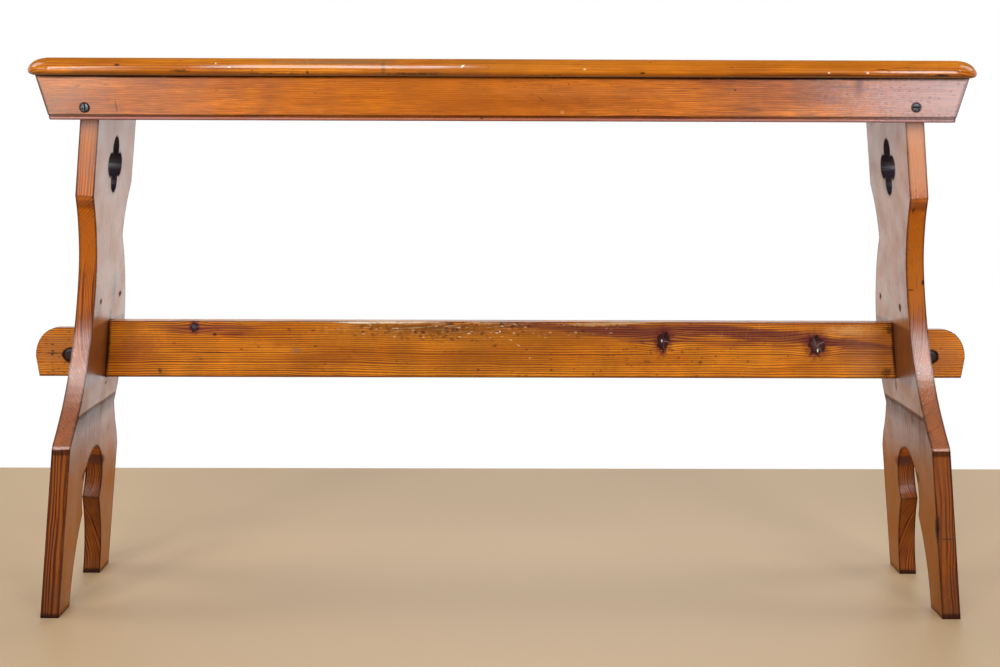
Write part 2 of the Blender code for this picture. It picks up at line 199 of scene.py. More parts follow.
def paleFloor(look):
    # scrubbed boards seen as one plain pale tan, with a faint soft sheen that ends far off
    material, add = newMaterial("pale floor")
    shader = add("BsdfPrincipled", inputs={
        "Base Color": look["floorColour"], "Roughness": 0.5, "Specular IOR Level": 0.15})
    place = add("TexCoord").outputs["Object"]
    path = add("LightPath")
    far = add("VectorMath", "LENGTH", (place,))
    far = add("MapRange", smooth, (far.outputs["Value"], look["floorFar"][0], look["floorFar"][1]))
    seen = add("Math", "MAXIMUM", (path.outputs["Is Camera Ray"], path.outputs["Is Glossy Ray"]))
    seen = add("Math", "MULTIPLY", (seen, far))
    glow = add("Emission", inputs={"Color": look["floorSeen"]})
    both = add("MixShader", inputs=(seen, shader, glow))
    add("OutputMaterial", inputs={"Surface": both})
    return material


def whiteWall():
    # white for the camera and in gloss, matt grey for soft light, clear from behind and to lamps
    material, add = newMaterial("white wall")
    path = add("LightPath")
    seen = add("Math", "MAXIMUM", (path.outputs["Is Camera Ray"], path.outputs["Is Glossy Ray"]))
    seen = add("Math", "MAXIMUM", (seen, path.outputs["Is Transmission Ray"]))
    glow = add("Emission", inputs={"Color": white, "Strength": 1.0})
    matt = add("BsdfDiffuse", inputs={"Color": (0.5, 0.5, 0.5, 1)})
    front = add("MixShader", inputs=(seen, matt, glow))
    clear = add("BsdfTransparent")
    facing = add("NewGeometry")
    through = add("Math", "MAXIMUM", (facing.outputs["Backfacing"], path.outputs["Is Shadow Ray"]))
    both = add("MixShader", inputs=(through, front, clear))
    add("OutputMaterial", inputs={"Surface": both})
    return material


def stagePlane(name, corners, material):
    mesh = bpy.data.meshes.new(name)
    mesh.from_pydata(corners, [], [(0, 1, 2, 3)])
    plane = bpy.data.objects.new(name, mesh)
    bpy.context.scene.collection.objects.link(plane)
    mesh.materials.append(material)


def buildStudio(look):
    reach, back, top = look["floorReach"], look["wallDistance"], look["wallHeight"]
    left, right = -reach, reach
    stagePlane("floor", [(left, left, 0), (right, left, 0), (right, right, 0), (left, right, 0)], paleFloor(look))
    stagePlane("wall", [(left, back, 0), (right, back, 0), (right, back, top), (left, back, top)], whiteWall())
    aim = Vector(look["lampAim"])
    for lamp in look["lamps"]:
        spot = Vector(lamp["spot"])
        bpy.ops.object.light_add(type="AREA", location=spot)
        light = bpy.context.active_object
        light.name = lamp["name"]
        light.rotation_euler = (aim - spot).to_track_quat("-Z", "Y").to_euler()
        light.data.shape = "RECTANGLE"
        light.data.size = lamp["size"][0]
        light.data.size_y = lamp["size"][1]
        light.data.energy = lamp["power"]
        light.data.color = look["lampTint"]
        light.visible_camera = False


def roomLight(look):
    # white to the camera, and in gloss where the wall stands; elsewhere a dim room
    world = bpy.data.worlds.new("room")
    bpy.context.scene.world = world
    world.use_nodes = True
    world.node_tree.nodes.clear()
    add = partial(addNode, world.node_tree)
    path = add("LightPath")
    parts = add("SeparateXYZ", inputs=(add("TexCoord").outputs["Generated"],))
    behind = add("MapRange", smooth, (parts.outputs["Y"], 0.0, 0.3))
    under = add("MapRange", smooth, (parts.outputs["Z"], 0.55, 0.25))
    wallSide = add("Math", "MULTIPLY", (behind, under))
    gloss = add("Math", "MAXIMUM", (path.outputs["Is Glossy Ray"], path.outputs["Is Transmission Ray"]))
    gloss = add("Math", "MULTIPLY", (gloss, wallSide))
    seen = add("Math", "MAXIMUM", (path.outputs["Is Camera Ray"], gloss))
    level = add("MapRange", smooth, (parts.outputs["Z"], 0.45, 1.0, look["roomLevel"], look["ceilingLevel"]))
    room = add("Background", inputs={"Color": (1.0, 0.97, 0.93, 1), "Strength": level})
    glow = add("Background", inputs={"Color": white, "Strength": 1.0})
    both = add("MixShader", inputs=(seen, room, glow))
    add("OutputWorld", inputs={"Surface": both})


buildStudio(studio)
roomLight(studio)
bpy.context.scene.view_settings.view_transform = "Standard"
print("studio built")


# Old pitch pine, planed and then varnished amber. Close orange rings with hard dark
# latewood lines, a wet gloss on the flats, and reddish brown grime along the arrises.
# Every pattern reads Object coordinates in metres.

def grainSpace(add, place, look):
    # turned so that the board's length is the pattern's X, and swollen round each knot
    turn = inRadians(look["turn"])
    grain = add("Mapping", inputs={"Vector": place, "Rotation": turn})
    for spot, size in look["knots"]:
        centre = add("Mapping", inputs={"Vector": inMetres(spot), "Rotation": turn})
        away = add("VectorMath", "SUBTRACT", (centre, grain))
        spread = (1 / (size * 4.5 * mm), 1 / (size * 2.2 * mm), 1 / (size * 2.2 * mm))
        share = add("VectorMath", "MULTIPLY", (away, spread))
        far = add("VectorMath", "LENGTH", (share,))
        pull = add("MapRange", smooth, (far.outputs["Value"], 1.0, 0.0, 0.0, 0.6))
        shift = add("VectorMath", "SCALE", {0: away, "Scale": pull})
        grain = add("VectorMath", "ADD", (grain, shift))
    return grain


def stretchedNoise(add, vector, scale, detail, roughness=0.5):
    # noise drawn out along the grain: scale is cells per metre along, across, across
    drawn = add("Mapping", inputs={"Vector": vector, "Scale": scale})
    return add("TexNoise", inputs={"Vector": drawn, "Scale": 1.0, "Detail": detail, "Roughness": roughness})


def growthRings(add, grain, look):
    # distance from the pith, wandering slowly and rippling, cut into years of uneven width
    moved = grain
    for scale, reach in (((2.2, 9.0, 9.0), look["wander"]), ((9.0, 28.0, 28.0), look["flame"]),
                         ((24.0, 60.0, 60.0), look["ripple"])):
        sway = stretchedNoise(add, grain, scale, 1.0, 0.4)
        sway = add("VectorMath", "SUBTRACT", (sway.outputs["Color"], (0.5, 0.5, 0.5)))
        sway = add("VectorMath", "SCALE", {0: sway, "Scale": reach * mm})
        moved = add("VectorMath", "ADD", (moved, sway))
    pith = (0.0, look["pith"][0], look["pith"][1])
    out = add("VectorMath", "SUBTRACT", (moved, pith))
    out = add("VectorMath", "MULTIPLY", (out, (look["taper"], 1, 1)))
    radius = add("VectorMath", "LENGTH", (out,)).outputs["Value"]
    years = add("Math", "DIVIDE", (radius, look["ring"] * mm))
    uneven = add("TexNoise", {"noise_dimensions": "1D"}, {"W": years, "Scale": 0.31, "Detail": 1.0, "Roughness": 0.5})
    years = add("Math", "MULTIPLY_ADD", (uneven, look["uneven"], years))
    season = add("Math", "FRACT", (years,))
    late = add("ValToRGB", inputs={"Fac": season})
    ramp = late.color_ramp
    ramp.elements[0].color = (0.35, 0.35, 0.35, 1)
    ramp.elements[1].color = (0.35, 0.35, 0.35, 1)
    for spot, level in ((0.10, 0.0), (0.42, 0.06), (0.64, 0.72), (0.80, 1.0), (0.94, 0.85)):
        ramp.elements.new(spot).color = (level, level, level, 1)
    faint = stretchedNoise(add, grain, (5.0, 110.0, 110.0), 2.0)
    strength = add("MapRange", inputs=(faint, 0.32, 0.66, look["lines"][0], look["lines"][1]))
    line = add("Math", "MULTIPLY", (late, strength))
    return moved, line


def ownSpace(add, place, at, size, turn):
    # places as seen from an ellipsoid, whose skin lies at 1 all round
    return add("Mapping", {"vector_type": "TEXTURE"}, {
        "Vector": place, "Location": inMetres(at), "Rotation": inRadians(turn), "Scale": inMetres(size)})


def softShape(add, place, at, size, turn=(0, 0, 0)):
    # 0 at the middle of an ellipsoid, 1 on its skin
    return add("VectorMath", "LENGTH", (ownSpace(add, place, at, size, turn),)).outputs["Value"]


def layOver(add, surface, mask, entry):
    # a stain, dent or worn place, or a painted shade, sheen or glint, laid over the surface through a mask
    surface["colour"] = add("Mix", rgba, {"Factor": mask, 6: surface["colour"], 7: entry["colour"]}).outputs[2]
    if "depth" in entry:
        surface["height"] = add("Math", "MULTIPLY_ADD", (mask, -entry["depth"] * mm, surface["height"]))
    if "rough" in entry:
        surface["rough"] = add("Math", "MULTIPLY_ADD", (mask, entry["rough"], surface["rough"]))
    if "coat" in entry:
        surface["coat"] = add("Math", {"operation": "MULTIPLY_ADD", "use_clamp": True}, (
            mask, entry["coat"], surface["coat"]))


def heldByGrain(add, surface, mask, share):
    # a stain that sinks into the dark lines and leaves the soft wood between them lighter
    held = add("MapRange", inputs=(surface["line"], 0.05, 0.6, 1.0 - share, 1.0))
    return add("Math", "MULTIPLY", (mask, held))


# Entries for a look. Places and sizes are in mm; a colour goes with how strongly it covers.
# core is where a mark is full, ragged how torn its edge is, inGrain how far it stays in the
# dark lines; depth, rough and coat change the surface under it.

def mark(at, size, colour, strength, **more):
    # a soft ellipsoid
    return dict(more, at=at, size=size, colour=colour, strength=strength)


def band(low, high, colour, strength, **more):
    # a level zone, each limit with the height over which it fades
    return dict(more, low=low, high=high, colour=colour, strength=strength)


def pitsAndGlints(at, size, spacing, width, share, colour, depth, **more):
    # many small dots in one soft region
    return dict(more, at=at, size=size, spacing=spacing, width=width, share=share, colour=colour, depth=depth)


def addMarks(add, surface, marks):
    # knots, stains, cracks and dents, each where the photograph shows one
    # some of them are painted shade, sheen and glints
    for entry in marks:
        ragged = entry.get("ragged", 0.6)
        far = softShape(add, surface["place"], entry["at"], entry["size"], entry.get("turn", (0, 0, 0)))
        edge = surface["drag" if "inGrain" in entry else "wobble"]
        far = add("Math", "MULTIPLY_ADD", (edge, ragged, far))
        core = entry.get("core", 0.3)
        mask = add("MapRange", smooth, (far, 1.0 + ragged / 2, core + ragged / 2, 0.0, entry["strength"]))
        if "inGrain" in entry:
            mask = heldByGrain(add, surface, mask, entry["inGrain"])
        layOver(add, surface, mask, entry)


def addDeadKnots(add, surface, look):
    # a branch cut across: maroon stain outside, then black bark, dull rings and drying cracks
    for knot in look["deadKnots"]:
        across = ownSpace(add, surface["place"], knot["at"], knot["size"], knot["turn"])
        flat = add("VectorMath", "MULTIPLY", (across, (1, 1, 0)))
        far = add("VectorMath", "LENGTH", (flat,)).outputs["Value"]
        far = add("Math", "MULTIPLY_ADD", (surface["wobble"], 1.3, far))
        angle = add("TexGradient", {"gradient_type": "RADIAL"}, {"Vector": flat})
        spokes = add("TexNoise", {"noise_dimensions": "1D"}, {"W": angle.outputs["Fac"], "Scale": 11.0, "Detail": 3.0})
        rings = add("Math", "SINE", (add("Math", "MULTIPLY", (far, 11.0)),))
        layers = (
            {"from": 2.7, "to": 1.45, "colour": knot["stain"], "strength": 0.8},
            {"from": 1.8, "to": 1.45, "colour": knot["bark"], "strength": 0.95, "coat": -0.3},
            {"from": 1.4, "to": 0.85, "colour": knot["heart"], "strength": 0.85},
        )
        for layer in layers:
            mask = add("MapRange", smooth, (far, layer["from"], layer["to"], 0.0, layer["strength"]))
            if layer is layers[2]:
                broken = add("MapRange", inputs=(rings, -1.0, 1.0, 0.45))
                mask = add("Math", "MULTIPLY", (mask, broken))
            layOver(add, surface, mask, layer)
        inside = add("MapRange", smooth, (far, 1.75, 1.4))
        crack = add("MapRange", smooth, (spokes, 0.61, 0.72, 0.0, 0.8))
        crack = add("Math", "MULTIPLY", (crack, inside))
        layOver(add, surface, crack, {"colour": "#0A0405", "depth": 0.5, "coat": -0.5})
        scar = add("MapRange", smooth, (spokes, 0.4, 0.3, 0.0, 0.3))
        scar = add("Math", "MULTIPLY", (scar, inside))
        layOver(add, surface, scar, {"colour": "#C4ACA0"})


def addScratches(add, surface, look):
    # fine pale lines rubbed across the film in one direction
    for patch in look["scratches"]:
        local = add("Mapping", inputs={"Vector": surface["place"], "Rotation": inRadians(patch["turn"])})
        lines = stretchedNoise(add, local, (30.0, 800.0, 800.0), 1.0)
        lines = add("MapRange", smooth, (lines, 0.58, 0.7, 0.0, patch["strength"]))
        far = softShape(add, surface["place"], patch["at"], patch["size"])
        inside = add("MapRange", smooth, (far, 1.0, 0.5))
        mask = add("Math", "MULTIPLY", (lines, inside))
        layOver(add, surface, mask, patch)


def addPitsAndGlints(add, surface, look):
    # dots inside a soft region: small dark dishes, or pale flecks where the depth is none, which are painted glints
    for zone in look["pitsAndGlints"]:
        far = softShape(add, surface["place"], zone["at"], zone["size"])
        inside = add("MapRange", smooth, (far, 1.0, 0.45))
        squeezed = add("Mapping", inputs={"Vector": surface["place"], "Scale": zone.get("squeeze", (1, 1, 1))})
        dots = add("TexVoronoi", inputs={"Vector": squeezed, "Scale": 1 / (zone["spacing"] * mm), "Randomness": 1.0})
        outline = add("Math", "MULTIPLY_ADD", (surface["wobble"], 0.8, dots.outputs["Distance"]))
        outline = add("Math", "SUBTRACT", (outline, 0.4))
        pick = add("SeparateColor", inputs=(dots.outputs["Color"],))
        wanted = add("Math", "LESS_THAN", (pick.outputs[0], zone["share"]))
        broad = add("MapRange", inputs=(pick.outputs[1], 0.0, 1.0, 0.4, 1.0))
        edge = add("Math", "MULTIPLY", (broad, zone["width"] / zone["spacing"]))
        pit = add("MapRange", smooth, (outline, edge, 0.02, 0.0, zone.get("strength", 1.0)))
        for share in (wanted, inside):
            pit = add("Math", "MULTIPLY", (pit, share))
        layOver(add, surface, pit, zone)


def addBands(add, surface, look):
    # level zones by height, ragged at their ends; "facing" keeps one to the faces turned that way
    height = add("SeparateXYZ", inputs=(surface["place"],)).outputs["Z"]
    ragged = add("Math", "SUBTRACT", (surface["cloud"], 0.5))
    for entry in look["bands"]:
        spot = add("Math", "MULTIPLY_ADD", (ragged, entry.get("ragged", 0.0) * mm, height))
        (low, lowSoft), (high, highSoft) = entry["low"], entry["high"]
        above = add("MapRange", smooth, (spot, (low - lowSoft) * mm, low * mm))
        below = add("MapRange", smooth, (spot, (high + highSoft) * mm, high * mm, 0.0, entry["strength"]))
        mask = add("Math", "MULTIPLY", (above, below))
        if "facing" in entry:
            turned = add("VectorMath", "DOT_PRODUCT", (surface["normal"], entry["facing"]))
            turned = add("MapRange", inputs=(turned.outputs["Value"], 0.6, 0.8))
            mask = add("Math", "MULTIPLY", (mask, turned))
        if "inGrain" in entry:
            mask = heldByGrain(add, surface, mask, entry["inGrain"])
        layOver(add, surface, mask, entry)


def addArrisGrime(add, surface, look):
    # a thin dark line where faces meet, broken up, with the varnish rubbed dull
    eased = add("Bevel", {"samples": 6}, {"Radius": look["edge"]["width"] * mm})
    same = add("VectorMath", "DOT_PRODUCT", (eased, surface["normal"]))
    edge = add("MapRange", smooth, (same.outputs["Value"], 0.995, 0.92))
    patchy = add("MapRange", inputs=(surface["cloud"], 0.3, 0.62, look["edge"]["low"], look["edge"]["high"]))
    mask = add("Math", "MULTIPLY", (edge, patchy))
    layOver(add, surface, mask, look["edge"])


def addBareFaces(add, surface, look):
    # the sides nobody sees were never varnished
    turned = add("VectorMath", "DOT_PRODUCT", (surface["normal"], look["bareSide"]))
    mask = add("MapRange", inputs=(turned.outputs["Value"], 0.75, 0.95, 0.0, 0.75))
    layOver(add, surface, mask, {"colour": "#A9825A", "rough": 0.35, "coat": -1.3})


def pitchPine(name, look):
    material, add = newMaterial(name)
    place = add("TexCoord").outputs["Object"]
    facing = add("NewGeometry")
    grain = grainSpace(add, place, look)
    moved, line = growthRings(add, grain, look)

    # fibres drawn one to two mm wide, coarser than real, so that they show
    fibre = stretchedNoise(add, moved, (look["fibreRun"], look["fibreCount"], look["fibreCount"]), 4.0, 0.6)
    mottle = stretchedNoise(add, grain, (6.0, 40.0, 40.0), 3.0, 0.55)
    cloud = add("TexNoise", inputs={"Vector": place, "Scale": 30.0, "Detail": 3.0})
    wobble = add("TexNoise", inputs={"Vector": place, "Scale": 240.0, "Detail": 2.0})
    drag = stretchedNoise(add, moved, (14.0, 260.0, 260.0), 2.0)

    share = add("MapRange", inputs=(mottle, 0.34, 0.66))
    colour = add("Mix", rgba, {"Factor": share, 6: look["early"], 7: look["deep"]}).outputs[2]
    broad = add("MapRange", inputs=(cloud, 0.3, 0.7, 1.0 - look["mottle"], 1.0 + look["mottle"]))
    colour = add("VectorMath", "SCALE", {0: colour, "Scale": broad})
    colour = add("Mix", rgba, {"Factor": line, 6: colour, 7: look["late"]}).outputs[2]
    streak = add("MapRange", inputs=(fibre, 0.3, 0.7, 1.0 - look["fibre"], 1.0 + look["fibre"] * 0.7))
    colour = add("VectorMath", "SCALE", {0: colour, "Scale": streak})

    # short dark resin flecks lying along the grain
    fleck = stretchedNoise(add, moved, (90.0, 900.0, 900.0), 1.0)
    fleck = add("MapRange", smooth, (fleck, 0.64, 0.76, 0.0, look["flecks"]))
    colour = add("Mix", rgba, {"Factor": fleck, 6: colour, 7: "#471B06"}).outputs[2]

    # hard latewood stands a little proud of the soft wood between
    height = add("Math", "MULTIPLY", (line, look["relief"] * mm))
    height = add("Math", "MULTIPLY_ADD", (fibre, look["relief"] * mm, height))
    rough = add("MapRange", inputs=(cloud, 0.35, 0.65, look["roughness"] - 0.06, look["roughness"] + 0.08))
    coat = add("MapRange", inputs=(cloud, 0.7, 0.4, look["coat"] * 0.75, look["coat"]))
    surface = {"place": place, "normal": facing.outputs["True Normal"], "line": line, "cloud": cloud,
               "wobble": wobble, "drag": drag, "colour": colour, "height": height, "rough": rough, "coat": coat}
    addBands(add, surface, look)
    addMarks(add, surface, look["marks"])
    addDeadKnots(add, surface, look)
    addMarks(add, surface, look["chipGlints"])
    addScratches(add, surface, look)
    addPitsAndGlints(add, surface, look)
    addArrisGrime(add, surface, look)
    if "bareSide" in look:
        addBareFaces(add, surface, look)

    bump = add("Bump", inputs={"Strength": 1.0, "Distance": 1.0, "Height": surface["height"]})
    swell = add("TexNoise", inputs={"Vector": place, "Scale": 18.0, "Detail": 2.0})
    film = add("Math", "MULTIPLY", (swell, look["swell"] * mm))
    film = add("Math", "MULTIPLY_ADD", (surface["height"], look["filmFollows"], film))
    filmBump = add("Bump", inputs={"Strength": 1.0, "Distance": 1.0, "Height": film})
    shader = add("BsdfPrincipled", inputs={
        "Base Color": surface["colour"], "Roughness": surface["rough"], "IOR": 1.45,
        "Specular IOR Level": look["gloss"], "Normal": bump, "Coat Weight": surface["coat"],
        "Coat Roughness": look["coatRoughness"], "Coat IOR": look["coatIor"], "Coat Normal": filmBump})
    add("OutputMaterial", inputs={"Surface": shader})
    return material


def patterned(add, share, height, colours, relief, shine):
    # the simple pieces: two colours through a pattern that also stands up a little
    colour = add("Mix", rgba, {"Factor": share, 6: colours[0], 7: colours[1]}).outputs[2]
    bump = add("Bump", inputs={"Distance": relief * mm, "Height": height})
    shader = add("BsdfPrincipled", inputs={"Base Color": colour, "Normal": bump, **shine})
    add("OutputMaterial", inputs={"Surface": shader})


# What every varnished board shares; each piece's own look changes some of it. Sizes are in
# mm, runs and counts in cells per metre.

boardLook = {"turn": (0, 0, 0), "pith": (0.05, -0.12), "taper": 0.02, "ring": 2.2, "wander": 9.0, "flame": 1.0,
             "ripple": 0.9, "uneven": 1.3, "early": "#E08A22", "deep": "#CB7214", "late": "#74360A",
             "lines": (0.45, 1.0), "fibre": 0.16, "fibreRun": 16.0, "fibreCount": 650.0, "flecks": 0.35, "mottle": 0.1,
             "relief": 0.012, "roughness": 0.42, "gloss": 0.05, "coat": 0.7, "coatRoughness": 0.16, "coatIor": 1.5,
             "filmFollows": 0.5, "swell": 0.1, "edge": {"width": 2.2, "colour": "#3E1408", "low": 0.3, "high": 1.0,
             "rough": 0.15, "coat": -0.35}, "knots": (), "marks": (), "chipGlints": (), "deadKnots": (), "scratches": (),
             "pitsAndGlints": (), "bands": ()}


# Boards are worked up from the frame's own solids: merged, cut into short lengths, given
# a small round, and then the rounds are rubbed in here and there by wear.

boardWork = {
    "merge": 0.01,         # mm: points closer than this become one
    "flat": 0.6,           # degrees: faces that bend less than this become one
    "roundFrom": 38,       # degrees: edges sharper than this get a round
    "roundSteps": 3,
    "shadeFrom": 32,       # degrees: edges sharper than this stay crisp
    "noArea": 1e-12,       # square metres under which a face has none
    "emptyMerge": 0.001,   # mm: its points become one
    "smallFace": 1.3,      # times round by cut step: a face of a round is smaller
    "floorClear": 3.0,     # mm: points nearer the floor don't wear
    "coarse": 60.0,        # waves of wear per metre
    "fine": 220.0,
    "fineShare": 0.6,
}


def copiedNode(name, node):
    # leaves the copy open in edit mode
    thing = bpy.data.objects.new(name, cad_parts[node].data.copy())
    bpy.context.scene.collection.objects.link(thing)
    makeActive(thing)
    bpy.ops.object.mode_set(mode="EDIT")
    bpy.ops.mesh.select_all(action="SELECT")
    bpy.ops.mesh.customdata_custom_splitnormals_clear()
    bpy.ops.mesh.remove_doubles(threshold=boardWork["merge"] * mm)
    bpy.ops.mesh.dissolve_limited(angle_limit=math.radians(boardWork["flat"]))
    bpy.ops.mesh.select_mode(type="FACE")
    return thing


def cutAcross(low, high, axis, step):
    # cuts the piece in edit mode into even short lengths
    normal = [1.0 if i == axis else 0.0 for i in range(3)]
    count = int((high[axis] - low[axis]) / (step * mm))
    for i in range(1, count):
        spot = [0.0, 0.0, 0.0]
        spot[axis] = low[axis] + (high[axis] - low[axis]) * i / count
        bpy.ops.mesh.select_all(action="SELECT")
        bpy.ops.mesh.bisect(plane_co=spot, plane_no=normal)
    bpy.ops.object.mode_set(mode="OBJECT")


def boardFromNode(name, node, shape):
    board = copiedNode(name, node)
    low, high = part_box(node)
    cutAcross(low, high, shape["cutAxis"], shape["cutStep"])
    applyModifier(board, "BEVEL", {
        "width": shape["round"] * mm, "segments": boardWork["roundSteps"], "limit_method": "ANGLE",
        "angle_limit": math.radians(boardWork["roundFrom"]), "use_clamp_overlap": True})
    wearRounds(board, shape)
    makeActive(board)
    bpy.ops.object.shade_smooth_by_angle(angle=math.radians(boardWork["shadeFrom"]))
    applyModifier(board, "WEIGHTED_NORMAL", faceNormals)
    return board


def wearRounds(board, shape):
    # only points with small faces all round move, so the flats stay flat
    work = bmesh.new()
    work.from_mesh(board.data)
    # faces with no area, which the bevel leaves where it runs into a cut, go first
    nothing = boardWork["noArea"]
    empty = [edge for edge in work.edges if any(face.calc_area() < nothing for face in edge.link_faces)]
    bmesh.ops.dissolve_degenerate(work, dist=boardWork["emptyMerge"] * mm, edges=empty)
    work.normal_update()
    small = shape["round"] * shape["cutStep"] * boardWork["smallFace"] * mm * mm
    for vertex in work.verts:
        low = vertex.co.z < boardWork["floorClear"] * mm
        if low or any(face.calc_area() > small for face in vertex.link_faces):
            continue
        worn = noise.noise(vertex.co * boardWork["coarse"])
        worn += boardWork["fineShare"] * noise.noise(vertex.co * boardWork["fine"] + Vector((7, 3, 1)))
        depth = shape["wear"] * mm * max(0.0, worn)
        vertex.co -= vertex.normal * depth
    work.to_mesh(board.data)
    work.free()


def buildBoard(name, node, shape, look):
    board = boardFromNode(name, node, shape)
    material = pitchPine("varnished pitch pine " + node.replace("_", " "), look)
    finishPiece(board, [material], "varnished pine", node)


# Stretcher: plain-sawn, with two dead knots and their purple-brown resin to the right,
# a smaller one to the left, and a battered upper middle where feet have rested

